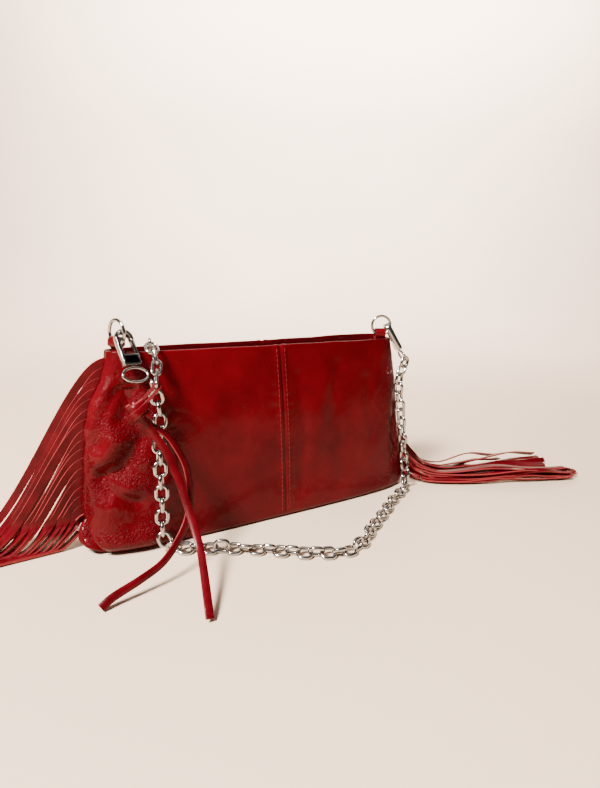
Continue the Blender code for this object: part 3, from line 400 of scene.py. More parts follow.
# ---------------------------------------------------------------- mesh helpers
def new_piece(name, points, faces, keys, slots=None, crinkle=None, body="bag", sharp=None):
    """A smooth-shaded object from points and faces. slots gives each face's material number in keys."""
    mesh = bpy.data.meshes.new(name)
    mesh.from_pydata([tuple(p) for p in points], [], [tuple(int(i) for i in face) for face in faces])
    for key in keys:
        mesh.materials.append(finish(key))
    if slots is not None:
        mesh.polygons.foreach_set("material_index", np.asarray(slots, dtype=np.int32))
    mesh.polygons.foreach_set("use_smooth", [True] * len(mesh.polygons))
    if sharp is not None:
        mesh.set_sharp_from_angle(angle=math.radians(sharp))
    if crinkle is not None:
        layer = mesh.attributes.new("crinkle", "FLOAT", "POINT")
        layer.data.foreach_set("value", np.asarray(crinkle, dtype=np.float32))
    mesh.update()
    piece = bpy.data.objects.new(name, mesh)
    bpy.context.collection.objects.link(piece)
    if body:
        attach(piece, body)
    return piece


def level_way(turn):
    """The level direction at a turn in degrees about +Z."""
    return Vector((math.cos(math.radians(turn)), math.sin(math.radians(turn)), 0))


def tangent_at(line, i):
    return (Vector(line[min(i + 1, len(line) - 1)]) - Vector(line[max(i - 1, 0)])).normalized()


def grid_faces(columns, rows, start=0, flip=False):
    """Quads of a grid whose points run row after row within each column."""
    faces = []
    for c in range(columns - 1):
        for r in range(rows - 1):
            corner = start + c * rows + r
            quad = (corner, corner + rows, corner + rows + 1, corner + 1)
            faces.append(quad[::-1] if flip else quad)
    return faces


def sleeve_faces(rings, around, start=0):
    """Faces of a closed tube whose points run ring after ring: its quads, then its two ends."""
    faces = [(start + r * around + k, start + r * around + (k + 1) % around,
              start + (r + 1) * around + (k + 1) % around, start + (r + 1) * around + k)
             for r in range(rings - 1) for k in range(around)]
    last = start + (rings - 1) * around
    return faces + [tuple(start + k for k in range(around))[::-1], tuple(last + k for k in range(around))]


def sleeve_slots(rings, pattern):
    """Material numbers for sleeve_faces: the pattern round each ring, and 1 on both ends."""
    return list(pattern) * (rings - 1) + [1, 1]


def smooth_route(points, spacing):
    """Points at an even spacing on a smooth curve through the given ones."""
    knots = [Vector(p) for p in points]
    knots = [knots[0] * 2 - knots[1]] + knots + [knots[-1] * 2 - knots[-2]]
    dense = []
    for a, b, c, d in zip(knots, knots[1:], knots[2:], knots[3:]):
        for k in range(16):
            t = k / 16
            dense.append(0.5 * (2 * b + (c - a) * t + (2 * a - 5 * b + 4 * c - d) * t * t
                                + (3 * b - a - 3 * c + d) * t ** 3))
    dense.append(knots[-2])
    table = np.array([tuple(p) for p in dense])
    lengths = np.concatenate([[0], np.cumsum(np.linalg.norm(np.diff(table, axis=0), axis=1))])
    count = max(int(round(lengths[-1] / spacing)), 2)
    stops = np.linspace(0, lengths[-1], count + 1)
    return [Vector([float(np.interp(stop, lengths, table[:, k])) for k in range(3)]) for stop in stops]


def wire_points(loop, radius, sides, swell=None):
    """Points and faces of round wire along a loop. swell scales its radius point by point."""
    count = len(loop)
    side = None
    points, faces = [], []
    for i, p in enumerate(loop):
        tangent = (loop[(i + 1) % count] - loop[(i - 1) % count]).normalized()
        side = tangent.orthogonal() if side is None else side
        side = (side - tangent * side.dot(tangent)).normalized()
        up = tangent.cross(side)
        for k in range(sides):
            turn = 2 * math.pi * k / sides
            thick = radius * (swell[i] if swell else 1.0)
            points.append(p + (side * math.cos(turn) + up * math.sin(turn)) * thick)
    for i in range(count):
        here, after = i * sides, ((i + 1) % count) * sides
        for k in range(sides):
            beside = (k + 1) % sides
            faces.append((here + k, here + beside, after + beside, after + k))
    return points, faces


def oval_loop(centre, long_way, wide_way, length, width, count):
    """Points round a link's middle line: two straight sides joined by half circles."""
    radius = width / 2
    straight = max(length / 2 - radius, 0)
    loop = []
    for k in range(count):
        turn = 2 * math.pi * (k + 0.5) / count
        along = math.copysign(straight, math.cos(turn)) + radius * math.cos(turn)
        loop.append(centre + long_way * along + wide_way * radius * math.sin(turn))
    return loop


def gather(parts):
    """Join several (points, faces) into one."""
    points, faces = [], []
    for some, quads in parts:
        start = len(points)
        points += some
        faces += [tuple(i + start for i in face) for face in quads]
    return points, faces


# ---------------------------------------------------------------- chain
def chain_pieces():
    """Oval links threaded through each other, in two halves that share one middle link."""
    fine = 0.0005
    route = smooth_route([LEFT_EYE] + CHAIN_LEFT_ROUTE + [CHAIN_MIDDLE] + CHAIN_RIGHT_ROUTE, fine)
    pitch = LINK_LENGTH - 2 * LINK_WIRE + LINK_PLAY
    count = int(len(route) * fine / pitch)
    step = (len(route) - 1) / count
    rng = np.random.default_rng(11)
    groups = {"left": [], "middle": [], "right": []}
    ends = {}
    side = Vector((1, 0, 0))
    centres = [route[int(round((k + 0.5) * step))] for k in range(count)]
    middle_at = min(range(count), key=lambda k: (centres[k] - Vector(CHAIN_MIDDLE)).length)
    for k in range(count):
        low = route[max(int(round(k * step)) - 2, 0)]
        high = route[min(int(round((k + 1) * step)) + 2, len(route) - 1)]
        tangent = (high - low).normalized()
        side = (side - tangent * side.dot(tangent)).normalized()
        up = tangent.cross(side)
        on_floor = centres[k].z < LYING_BELOW
        if on_floor:
            flat = Vector((tangent.y, -tangent.x, 0)).normalized()
            lift = tangent.cross(flat)
            turn = math.radians((24 if k % 2 else -58) + rng.uniform(-14, 14))
            if k in (middle_at - 7, middle_at + 5):
                turn = math.radians(80)
            wide = flat * math.cos(turn) + lift * math.sin(turn)
        else:
            turn = math.radians((8 if k % 2 else 98) + rng.uniform(-13, 13))
            wide = side * math.cos(turn) + up * math.sin(turn)
        centre = centres[k].copy()
        if on_floor:
            reach = (LINK_WIDTH - LINK_WIRE) / 2 * abs(wide.z) + LINK_WIRE / 2 * 1.2
            centre.z = reach + FLOOR_CLEARANCE
        loop = oval_loop(centre, tangent, wide, LINK_LENGTH - LINK_WIRE, LINK_WIDTH - LINK_WIRE, LINK_SAMPLES)
        group = "middle" if k == middle_at else "left" if k < middle_at else "right"
        swell = [1.10 + 0.26 * math.sin(2 * math.pi * (i + 0.5) / LINK_SAMPLES) ** 2 for i in range(LINK_SAMPLES)]
        points, faces = wire_points(loop, LINK_WIRE / 2, 10, swell=swell)
        for p in points:
            p.z = max(p.z, FLOOR_CLEARANCE)
        groups[group].append((points, faces))
        ends.setdefault(group, []).append(k)
    made = {}
    for group, parts in groups.items():
        name = {"left": "chain_left_links", "middle": "chain_middle_oval", "right": "chain_right_links"}[group]
        points, faces = gather(parts)
        made[group] = new_piece(name, points, faces, ["metal"], body="bag" if group == "middle" else None)
    halves = {"left": route[:int(ends["left"][-1] * step + step) + 1],
              "right": route[int(ends["right"][0] * step):]}
    return made, halves


def make_chain():
    made, halves = chain_pieces()
    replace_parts(made["middle"], "chain_middle_link")
    for side, at in (("left", 0), ("right", -1)):
        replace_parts(made[side], f"chain_{side}")
        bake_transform(made[side])


# ---------------------------------------------------------------- tassel
def band(route, width, thickness, turn_start, turn_end, spacing=0.0012):
    """A flat leather band along a route, with rounded long edges and a slow twist."""
    facing = Vector((-0.2, -0.93, 0.3))
    line = smooth_route(route, spacing)
    count = len(line)
    section = [(-0.5, -0.28), (-0.44, -0.5), (0.0, -0.5), (0.44, -0.5), (0.5, -0.28),
               (0.5, 0.28), (0.44, 0.5), (0.0, 0.5), (-0.44, 0.5), (-0.5, 0.28)]
    points = []
    for i, p in enumerate(line):
        tangent = tangent_at(line, i)
        side = tangent.cross(facing).normalized()
        up = tangent.cross(side)
        t = i / (count - 1)
        turn = math.radians(mix(turn_start, turn_end, t))
        across = side * math.cos(turn) + up * math.sin(turn)
        out = tangent.cross(across)
        w = width * (1 + 0.04 * math.sin(9 * t + turn_start))
        for a, b in section:
            points.append(p + across * a * w + out * b * thickness)
    slots = sleeve_slots(count, (2, 2, 2, 2, 1, 0, 0, 0, 0, 1))
    return points, sleeve_faces(count, len(section)), slots, line


def make_tassel():
    for name, route, turns in (("front", TAIL_FRONT_ROUTE, (12, -18)), ("back", TAIL_BACK_ROUTE, (-58, 8))):
        points, faces, slots, line = band(route, TAIL_WIDTH, 0.0014, *turns)
        for p in points:
            p.z = max(p.z, 0.0003)
        tail = new_piece(f"tassel_strip_{name}", points, faces, ["strip", "raw_pale", "strip"], slots,
                         body="tassel", sharp=50)
        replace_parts(tail, f"tassel_tail_{name}")
    make_knot()


def make_knot():
    """A folded leather knot: a band wound over a core, with its loop to the last link."""
    centre = KNOT_CENTRE
    axis = (Vector(TAIL_FRONT_ROUTE[1]) - centre).normalized()
    across = axis.cross(Vector((0.3, -0.9, 0.1))).normalized()
    out = axis.cross(across)
    parts, slots, steps = [], [], 24

    def wrap(start, end, lean, radius_a, radius_b, width, lift):
        route = []
        for k in range(steps + 1):
            t = k / steps
            turn = math.radians(mix(start, end, t))
            c, s = math.cos(turn), math.sin(turn)
            square = (abs(c) ** 4 + abs(s) ** 4) ** -0.25
            route.append(centre + across * radius_a * c * square + out * radius_b * s * square
                         + axis * (lean * (t - 0.5) + lift))
        points = []
        for i, p in enumerate(route):
            tangent = tangent_at(route, i)
            away = (p - centre - axis * (p - centre).dot(axis)).normalized()
            wide = tangent.cross(away).normalized()
            away = wide.cross(tangent)
            for a, b in ((-0.5, -0.3), (-0.42, 0.45), (-0.15, 0.62), (0.15, 0.62), (0.42, 0.45), (0.5, -0.3),
                         (0.3, -0.6), (-0.3, -0.6)):
                points.append(p + wide * a * width + away * b * 0.0021)
        slots.extend(sleeve_slots(steps + 1, (1, 0, 0, 0, 1, 0, 0, 0)))
        parts.append((points, sleeve_faces(steps + 1, 8)))

    wrap(-40, 330, 0.0016, 0.0050, 0.0043, 0.0080, -0.0010)
    wrap(150, 400, 0.0042, 0.0058, 0.0050, 0.0052, 0.0014)
    wrap(190, 520, 0.0010, 0.0038, 0.0034, 0.0040, 0.0046)
    points, faces = gather(parts)
    core = []
    for row in range(1, 12):
        lift = math.pi * row / 12 - math.pi / 2
        for k in range(20):
            turn = 2 * math.pi * k / 20
            core.append(centre + across * 0.0048 * math.cos(lift) * math.cos(turn)
                        + out * 0.0041 * math.cos(lift) * math.sin(turn) + axis * 0.0068 * math.sin(lift))
    start = len(points)
    points += core
    quads = sleeve_faces(11, 20, start)
    faces += quads
    slots += [0] * len(quads)
    knot = new_piece("tassel_knot_folds", points, faces, ["strip", "raw_pale"], slots, body="tassel", sharp=60)
    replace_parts(knot, "tassel_knot")

    top = Vector(PULL_BARS[-1])
    way = (top - Vector(PULL_BARS[-2])).normalized()
    side = way.cross(way.cross(Vector((1, 0, 0)))).normalized()
    bend = 0.0019
    arch = [centre + side * bend, top + side * bend + way * bend * 1.7]
    arch += [top + side * bend * math.cos(math.pi * k / 8) + way * bend * (1 - math.sin(math.pi * k / 8))
             for k in range(9)]
    arch += [top - side * bend + way * bend * 1.7, centre - side * bend]
    points, faces, slots, _ = band([tuple(p) for p in arch], 0.0022, 0.0011, 0, 0, 0.0006)
    new_piece("tassel_hanging_loop", points, faces, ["strip", "raw_pale", "raw"], slots, body="tassel", sharp=50)


# ---------------------------------------------------------------- rings, links and clasps
def link_piece(name, centre, long_way, wide_way, length, width, body, node):
    loop = oval_loop(centre, long_way, wide_way, length - LINK_WIRE, width - LINK_WIRE, 32)
    points, faces = wire_points(loop, LINK_WIRE / 2, 12)
    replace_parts(new_piece(name, points, faces, ["metal"], body=body), node)


def link_between(start, start_radius, end, beyond):
    way = (end - start).normalized()
    near = start - way * (start_radius + LINK_WIRE / 2 + 0.0009)
    far = end + way * beyond
    return (near + far) / 2, way, (far - near).length + LINK_WIRE


def make_pull():
    across = Vector((1, 0, 0))
    half = (LINK_LENGTH - LINK_WIRE) / 2
    hanger = PULL_OVER_RIM + PULL_LEAN * half
    centre, way, length = link_between(BAIL, 0.0007, PULL_OVER_RIM - PULL_LEAN * half, LINK_WIRE + 0.0003)
    link_piece("pull_oval_1", centre, way, way.cross(across).normalized(), length, PULL_LINK_WIDTH,
               "pull", "pull_link_1")
    link_piece("pull_oval_2", PULL_OVER_RIM, PULL_LEAN, across, LINK_LENGTH, LINK_WIDTH, "pull", "pull_link_2")
    bars = [hanger] + [Vector(bar) for bar in PULL_BARS]
    for number, (start, end) in enumerate(zip(bars, bars[1:]), start=3):
        beyond = 0.0008 + LINK_WIRE / 2 + 0.0009 if number == 5 else 0
        centre, way, length = link_between(start, LINK_WIRE / 2, end, beyond)
        turned = way.cross(across).normalized()
        wide = turned if number % 2 else turned.cross(way)
        link_piece(f"pull_oval_{number}", centre, way, wide, length, PULL_LINK_WIDTH,
                   "tassel", f"pull_link_{number}")


RINGS = {"left": ((-0.1236, -0.0050, 0.1572), -68.0), "right": ((0.1144, -0.0050, 0.1590), -25.0)}
CLASPS = {"left": (-27.0, (0.12, -0.60, -0.79), (0.20, -0.84, 0.50)),
          "right": (-28.0, (0.42, -0.30, -0.855), (0.806, -0.35, 0.476))}
TABS = {"left": ((-0.1241, -0.0037), -68.0), "right": ((0.1138, -0.0046), -24.0)}


def make_rings():
    for side, (centre, turn) in RINGS.items():
        plane = level_way(turn)
        turns = [2 * math.pi * k / 64 for k in range(64)]
        loop = [Vector(centre) + (plane * math.cos(t) + Vector((0, 0, math.sin(t)))) * RING_RADIUS for t in turns]
        points, faces = wire_points(loop, RING_WIRE / 2, 16)
        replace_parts(new_piece(f"round_ring_{side}", points, faces, ["metal"], body=f"ring_{side}"), f"ring_{side}")


def polish_cad(node, key, width, segments=3):
    """Round a hard CAD part's edges and give it its finish."""
    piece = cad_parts[node]
    piece.data.materials.clear()
    piece.data.materials.append(finish(key))
    piece.data.polygons.foreach_set("material_index", np.zeros(len(piece.data.polygons), dtype=np.int32))
    piece.data.polygons.foreach_set("use_smooth", [True] * len(piece.data.polygons))
    weld = piece.modifiers.new("weld", "WELD")
    weld.merge_threshold = 0.00002
    bevel = piece.modifiers.new("bevel", "BEVEL")
    bevel.width = width
    bevel.segments = segments
    bevel.limit_method = "ANGLE"
    bevel.angle_limit = math.radians(38)
    bevel.harden_normals = True
    return piece


def make_reflection_plate(side):
    """A dark plate let into the block of the clasp: painted reflection, its near-black colour standing in for the
    dark surroundings mirrored in the polished block.
    """
    centre, ring_turn = RINGS[side]
    hook_turn, hang, face = CLASPS[side]
    hook = Vector(centre) + level_way(ring_turn) * RING_RADIUS * math.cos(math.radians(hook_turn))
    hook.z += RING_RADIUS * math.sin(math.radians(hook_turn))
    up = -Vector(hang).normalized()
    out = (Vector(face) - up * Vector(face).dot(up)).normalized()
    across = up.cross(out)
    middle = hook - up * 0.0169 + out * 0.0023
    half_width, half_height, around = 0.0049, 0.0028, 32
    points = []
    for lift, size in ((-0.0004, 1.0), (0.00030, 1.0), (0.00045, 0.95)):
        for k in range(around):
            turn = 2 * math.pi * (k + 0.5) / around
            c, s = math.cos(turn), math.sin(turn)
            square = (abs(c) ** 8 + abs(s) ** 8) ** -0.125 * size
            points.append(middle + across * c * square * half_width + up * s * square * half_height + out * lift)
    new_piece(f"clasp_reflection_plate_{side}", points, sleeve_faces(3, around), ["painted_reflection_metal"],
              body=f"clasp_{side}", sharp=30)


def make_clasps():
    for side in ("left", "right"):
        make_reflection_plate(side)
        polish_cad(f"clasp_frame_{side}", "metal", 0.00045)
        polish_cad(f"clasp_gate_{side}", "metal", 0.00035)
        polish_cad(f"clasp_pin_{side}", "metal", 0.0001, 2)
        polish_cad(f"clasp_spring_{side}", "metal", 0.00008, 1)
        swivel = polish_cad(f"clasp_swivel_{side}", "metal", 0.0001, 1)
        swivel.modifiers.remove(swivel.modifiers["bevel"])
        swivel.modifiers.new("round", "SUBSURF").levels = 2
        swivel.modifiers["round"].render_levels = 2


def tab_outline(fold_height, foot):
    """Centre line of the folded strap, in (through, up)."""
    radius = 0.0028 + 0.00055
    line = [(-0.00075, foot), (-0.00075, 0.1435), (-0.0009, 0.1456), (-0.0020, 0.1475)]
    line.append((-radius, fold_height - 0.0024))
    line += [(radius * math.cos(math.pi * (1 - k / 12)), fold_height + radius * math.sin(math.pi * k / 12))
             for k in range(13)]
    line += [(-x, z) for x, z in line[4::-1]]
    return line


def make_tabs():
    for side, (place, turn) in TABS.items():
        across = level_way(turn)
        thick = Vector((across.y, -across.x, 0))
        wire = RINGS[side][0][2] - RING_RADIUS
        line = smooth_route([Vector((place[0], place[1], 0)) + thick * x + Vector((0, 0, z))
                             for x, z in tab_outline(wire + 0.0022, 0.1415)], 0.0006)
        section = [(-0.5, -0.2)] + [(a, -0.5) for a in (-0.475, -0.3, -0.1, 0.1, 0.3, 0.475)] + [(0.5, -0.2)]
        section += [(-a, -b) for a, b in section]
        points = []
        for i, p in enumerate(line):
            out = tangent_at(line, i).cross(across)
            wave = 0.00018 * math.sin(i * 0.9) + 0.0001 * math.sin(i * 2.3)
            for a, b in section:
                puff = 1.0 + 0.12 * (1 - (2 * a) ** 4)
                points.append(p + across * (a * 0.0096 + wave * 0.5) + out * (b * 0.0011 * puff + wave * 0.3))
        slots = sleeve_slots(len(line), ([0] * 7 + [1]) * 2)
        faces = sleeve_faces(len(line), len(section))
        tab = new_piece(f"strap_tab_{side}", points, faces, ["strap", "raw_pale"], slots, sharp=50)
        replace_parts(tab, f"tab_{side}")


# ---------------------------------------------------------------- the bag's skin
def outline_size(height):
    t = height / BAG_HEIGHT
    half_length = mix(BASE_LENGTH, RIM_LENGTH, t) / 2
    half_depth = mix(BASE_DEPTH, RIM_DEPTH, t) / 2 + BELLY * np.sin(math.pi * np.clip(t, 0, 1))
    return half_length, half_depth, RIM_SHIFT * t


def outline_points(sign_y, fraction, height, inset):
    """Points on the bag's rounded outline, inset towards its middle."""
    half_length, half_depth, middle = outline_size(height)
    share = np.sin(math.pi / 2 * fraction)
    x = middle + (half_length - inset) * share
    y = sign_y * (half_depth - inset) * np.maximum(1 - np.abs(share) ** SQUARENESS, 0) ** (1 / SQUARENESS)
    return np.stack([x, y, height], axis=-1)


def end_shift(x, height):
    """The soft left end leans in at the rim and slumps outward lower down."""
    lean = np.interp(height, [0.0, 0.004, 0.020, 0.036, 0.061, 0.090, 0.110, 0.124, 0.145],
                     [-0.0010, -0.0024, -0.0058, -0.0080, -0.0082, -0.0074, -0.0050, 0.0, 0.0034])
    return lean * ease((-np.asarray(x) - 0.095) / 0.045)


def near_line(points, line, width):
    """How close each point lies to a line of points: 1 on it, fading out over width."""
    nearest = np.full(len(points), 1e9)
    for a, b in zip(line, line[1:]):
        a, b = np.array(a), np.array(b)
        along = np.clip(((points - a) @ (b - a)) / ((b - a) @ (b - a)), 0, 1)
        nearest = np.minimum(nearest, np.linalg.norm(points - (a + along[:, None] * (b - a)), axis=1))
    return np.exp(-(nearest / width) ** 2)


FRONT_FOLDS = [
    (-0.0044, 0.0066, [(-0.1186, -0.0174, 0.118), (-0.1206, -0.0193, 0.098), (-0.1130, -0.0220, 0.083),
                       (-0.1225, -0.0223, 0.065), (-0.1325, -0.0202, 0.060)]),
    (-0.0036, 0.0050, [(-0.1350, -0.0180, 0.056), (-0.1300, -0.0210, 0.048), (-0.1173, -0.0252, 0.038)]),
    (-0.0022, 0.0042, [(-0.1268, -0.0153, 0.118), (-0.1330, -0.0150, 0.100), (-0.1350, -0.0165, 0.082)]),
    (-0.0026, 0.0055, [(-0.1110, -0.0215, 0.094), (-0.1020, -0.0232, 0.078), (-0.1000, -0.0250, 0.058)]),
    (0.0038, 0.0080, [(-0.1240, -0.0185, 0.086), (-0.1310, -0.0170, 0.074)]),
    (0.0022, 0.0080, [(-0.1330, -0.0120, 0.118), (-0.1360, -0.0130, 0.094)]),
    (0.0036, 0.0095, [(-0.1210, -0.0245, 0.047), (-0.1320, -0.0230, 0.032)]),
    (0.0042, 0.0070, [(-0.1470, -0.0040, 0.016), (-0.1450, -0.0130, 0.008)]),
    (0.0075, 0.0150, [(-0.1340, -0.0225, 0.008), (-0.1150, -0.0265, 0.006)]),
    (-0.0070, 0.0021, [(-0.1456, -0.0012, 0.038), (-0.1468, -0.0075, 0.027), (-0.1450, -0.0150, 0.015),
                       (-0.1400, -0.0215, 0.004)]),
    (-0.0014, 0.0022, [(0.1164, -0.0223, 0.076), (0.1225, -0.0222, 0.058), (0.1280, -0.0218, 0.046)]),
    (-0.0012, 0.0018, [(0.1250, -0.0200, 0.070), (0.1300, -0.0195, 0.056)]),
    (-0.0018, 0.0050, [(0.1290, -0.0200, 0.100), (0.1240, -0.0225, 0.066), (0.1280, -0.0240, 0.035)]),
    (0.0012, 0.0070, [(0.1180, -0.0210, 0.100), (0.1160, -0.0235, 0.060)]),
    (-0.0012, 0.0060, [(0.0150, -0.0240, 0.120), (0.0200, -0.0280, 0.070), (0.0160, -0.0320, 0.020)]),
    (-0.0011, 0.0080, [(0.0560, -0.0210, 0.125), (0.0500, -0.0270, 0.080), (0.0620, -0.0310, 0.030)]),
    (0.0009, 0.0080, [(0.0380, -0.0220, 0.110), (0.0340, -0.0280, 0.060)]),
    (-0.0009, 0.0080, [(0.0880, -0.0220, 0.110), (0.0940, -0.0260, 0.060)]),
]
BACK_FOLDS = [
    (-0.0032, 0.0065, [(-0.1190, 0.0180, 0.112), (-0.1150, 0.0220, 0.085), (-0.1260, 0.0220, 0.060)]),
    (0.0024, 0.0080, [(-0.1290, 0.0180, 0.090), (-0.1320, 0.0200, 0.070)]),
    (-0.0036, 0.0019, [(-0.1450, 0.0100, 0.032), (-0.1420, 0.0190, 0.010)]),
    (-0.0030, 0.0070, [(0.1130, 0.0190, 0.115), (0.1080, 0.0240, 0.085), (0.1200, 0.0240, 0.055)]),
    (0.0024, 0.0085, [(0.1230, 0.0200, 0.085), (0.1270, 0.0220, 0.060)]),
    (-0.0036, 0.0019, [(0.1450, 0.0090, 0.034), (0.1410, 0.0200, 0.008)]),
    (-0.0012, 0.0090, [(-0.0500, 0.0220, 0.120), (-0.0420, 0.0290, 0.070), (-0.0560, 0.0310, 0.030)]),
    (-0.0013, 0.0090, [(0.0460, 0.0220, 0.120), (0.0560, 0.0290, 0.070), (0.0440, 0.0310, 0.030)]),
    (0.0010, 0.0090, [(0.0150, 0.0250, 0.110), (0.0220, 0.0300, 0.060)]),
]


def seam_middle(height):
    return 0.0018 - 0.0026 * np.asarray(height) / BAG_HEIGHT


SKIN = {}
FIRST_WALL_ROW, WALL_ROWS, FACING_ROWS, FACING_DEPTH = 12, 117, 12, 0.0235
STITCH_PITCH, STITCH_LENGTH, STITCH_OFFSET, THREAD_RADIUS = 0.0040, 0.0031, 0.0036, 0.00033


def make_skin(face, sign_y, folds, seed):
    """One face of the bag: under the base, up the wall, over the rim and down inside."""
    corner, roll = 0.0048, 0.0010
    profile = [(0.0006, 0.0150, 0.0), (0.0005, 0.0110, 0.0), (0.0004, 0.0078, 0.2)]
    for k in range(0, 9):
        turn = math.pi / 2 * k / 8
        profile.append((0.0004 + corner * (1 - math.cos(turn)), corner * (1 - math.sin(turn)), 0.3 + 0.7 * k / 8))
    low, high = corner + 0.0004, BAG_HEIGHT - roll
    for k in range(1, WALL_ROWS + 1):
        profile.append((mix(low, high, k / WALL_ROWS), 0.0, 1.0))
    for k in range(1, 9):
        turn = math.pi * k / 8
        profile.append((high + roll * math.sin(turn), roll * (1 - math.cos(turn)), 1.0 - k / 8))
    for k in range(1, FACING_ROWS + 1):
        profile.append((high - FACING_DEPTH * k / FACING_ROWS, 2 * roll + 0.0001, 0.0))
    heights, insets, shares = (np.array(v) for v in zip(*profile))
    rows = len(profile)
    fractions = np.concatenate([np.linspace(-1, -0.80, 46)[:-1], np.linspace(-0.80, 0.80, 300),
                                np.linspace(0.80, 1, 46)[1:]])
    columns = len(fractions)
    fraction = np.repeat(fractions, rows)
    height, inset, share = (np.tile(v, columns) for v in (heights, insets, shares))
    points = outline_points(sign_y, fraction, height, inset)
    wall = outline_points(sign_y, fraction, np.clip(height, 0.002, BAG_HEIGHT), np.zeros(len(height)))
    ahead = outline_points(sign_y, np.clip(fraction + 0.004, -1, 1), height, np.zeros(len(height)))
    behind = outline_points(sign_y, np.clip(fraction - 0.004, -1, 1), height, np.zeros(len(height)))
    along = ahead - behind
    normal = np.stack([along[:, 1], -along[:, 0], np.zeros(len(height))], axis=1) * -sign_y
    normal /= np.maximum(np.linalg.norm(normal, axis=1), 1e-9)[:, None]

    x, z = wall[:, 0], height
    left = ease((-x - 0.060) / 0.055)
    right = ease((x - 0.085) / 0.04)
    low_fade = ease(z / 0.010) * 0.7 + 0.3
    rim_fade = ease((BAG_HEIGHT - z) / 0.014)
    push = np.zeros(len(x))
    for depth, width, line in folds:
        push += depth * near_line(wall, line, width)
    warped = wall + 0.006 * np.stack([gradient_noise(wall * 55, seed + 9), gradient_noise(wall * 55, seed + 10),
                                      gradient_noise(wall * 55, seed + 12)], axis=1)
    push += 0.0011 * gradient_noise(wall * 22, seed) * (0.45 + 0.9 * left + 0.5 * right)
    medium = gradient_noise(warped * np.array([110, 110, 75]), seed + 1)
    push += 0.00075 * medium * (0.16 + 0.6 * left + 0.4 * right)
    ridged = 1 - np.abs(gradient_noise(warped * 260, seed + 2)) * 2
    push += 0.00042 * ridged * (0.05 + 0.40 * left + 0.22 * right)
    push += 0.00016 * gradient_noise(warped * 620, seed + 3) * (0.10 + 1.0 * left + 0.4 * right)
    push *= rim_fade * low_fade
    seam = np.abs(x - seam_middle(z))
    flank = np.exp(-((seam - 0.0030) / 0.0024) ** 2)
    stitch = 0.5 + 0.5 * np.cos(2 * math.pi * z / STITCH_PITCH)
    push += (0.00065 * flank - 0.0013 * np.exp(-(seam / 0.00055) ** 2)) * ease((z - 0.002) / 0.006)
    push -= 0.00030 * np.exp(-((seam - STITCH_OFFSET) / 0.0007) ** 2) * (0.4 + 0.6 * stitch) * rim_fade
    pucker = np.exp(-((seam - 0.0065) / 0.004) ** 2) * gradient_noise(wall * np.array([60, 60, 230]), seed + 5)
    push += 0.00030 * pucker * rim_fade
    side_seam = np.clip((1 - np.abs(fraction)) / 0.085, 0, 1)
    push += 0.0010 * np.sin(math.pi * side_seam) * rim_fade
    gather_up = gradient_noise(wall * np.array([60, 60, 190]), seed + 6)
    push += 0.0005 * (1 - ease(side_seam * 1.6)) * gather_up * rim_fade
    points += normal * (push * share)[:, None]
    tucked = (1 - ease(side_seam * 2.2)) * share
    points[:, 0] -= np.sign(fraction) * 0.0042 * tucked ** 2
    points[:, 0] += end_shift(x, z) * ease(share)
    points[:, 1] = sign_y * np.maximum(sign_y * points[:, 1], 0.0011)

    slope = np.interp(x, [-0.13, 0.13], [-0.0017, 0.0017])
    if sign_y > 0:
        slope += 0.0024 * ease((x + 0.02) / 0.14)
    along_rim = np.stack([x * 30, np.full(len(x), 3.1 * sign_y), np.zeros(len(x))], axis=1)
    wave = 0.00045 * gradient_noise(along_rim, seed)
    notch = -0.0006 * np.exp(-(seam / 0.0010) ** 2) + 0.0004 * np.exp(-((seam - 0.003) / 0.0018) ** 2)
    points[:, 2] += (slope + wave + notch) * ease(z / BAG_HEIGHT) * np.clip(z / BAG_HEIGHT, 0, 1)
    points[:, 2] = np.maximum(points[:, 2], 0.0003)

    faces = grid_faces(columns, rows, flip=sign_y > 0)
    facing_from = rows - FACING_ROWS - 2
    inside = [1 if (i % (rows - 1)) >= facing_from else 0 for i in range(len(faces))]
    # crinkle sets how creased each point is: it drives the bump, the coat and the painted shade in the creases.
    crinkle = np.clip(0.16 + 0.95 * left + 0.45 * right + 0.25 * np.exp(-((z - 0.01) / 0.02) ** 2), 0, 1)
    skin = new_piece(f"leather_{face}", points, faces, ["patent", "patent_inside"], inside, crinkle=crinkle)
    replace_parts(skin, f"{face}_panel_left", f"{face}_panel_right", f"facing_{face}")
    SKIN[face] = (points.reshape(columns, rows, 3), heights)


def capsule(start, end, radius, sides=6):
    """A short stitch of thread, sunk at both ends."""
    way = end - start
    length = way.length
    way.normalize()
    side = way.orthogonal().normalized()
    up = way.cross(side)
    points = []
    stops = [(0.0, 0.35), (0.12, 0.85), (0.35, 1.0), (0.65, 1.0), (0.88, 0.85), (1.0, 0.35)]
    for t, swell in stops:
        for k in range(sides):
            turn = 2 * math.pi * k / sides
            away = side * math.cos(turn) + up * math.sin(turn)
            points.append(start + way * length * t + away * radius * swell)
    return points, sleeve_faces(len(stops), sides)


def stitched_seams():
    """Two rows of stitches beside each centre seam, laid on the leather itself."""
    for face, sign_y in (("front", -1), ("back", 1)):
        grid, heights = SKIN[face]
        outside = slice(FIRST_WALL_ROW, FIRST_WALL_ROW + WALL_ROWS)
        parts = []
        for offset in (-STITCH_OFFSET, STITCH_OFFSET):
            z = 0.0075
            while z < 0.1435:
                ends = []
                for level in (z, z + STITCH_LENGTH):
                    row = FIRST_WALL_ROW + int(np.argmin(np.abs(heights[outside] - level)))
                    line = grid[:, row]
                    x = float(seam_middle(level)) + offset
                    near = int(np.argmin(np.abs(line[:, 0] - x)))
                    y = float(np.interp(x, line[near - 3:near + 4, 0], line[near - 3:near + 4, 1]))
                    ends.append(Vector((x, y + sign_y * 0.00002, float(line[near, 2]) + level - heights[row])))
                parts.append(capsule(ends[0], ends[1], THREAD_RADIUS))
                z += STITCH_PITCH
        points, faces = gather(parts)
        new_piece(f"seam_stitches_{face}", points, faces, ["thread"])


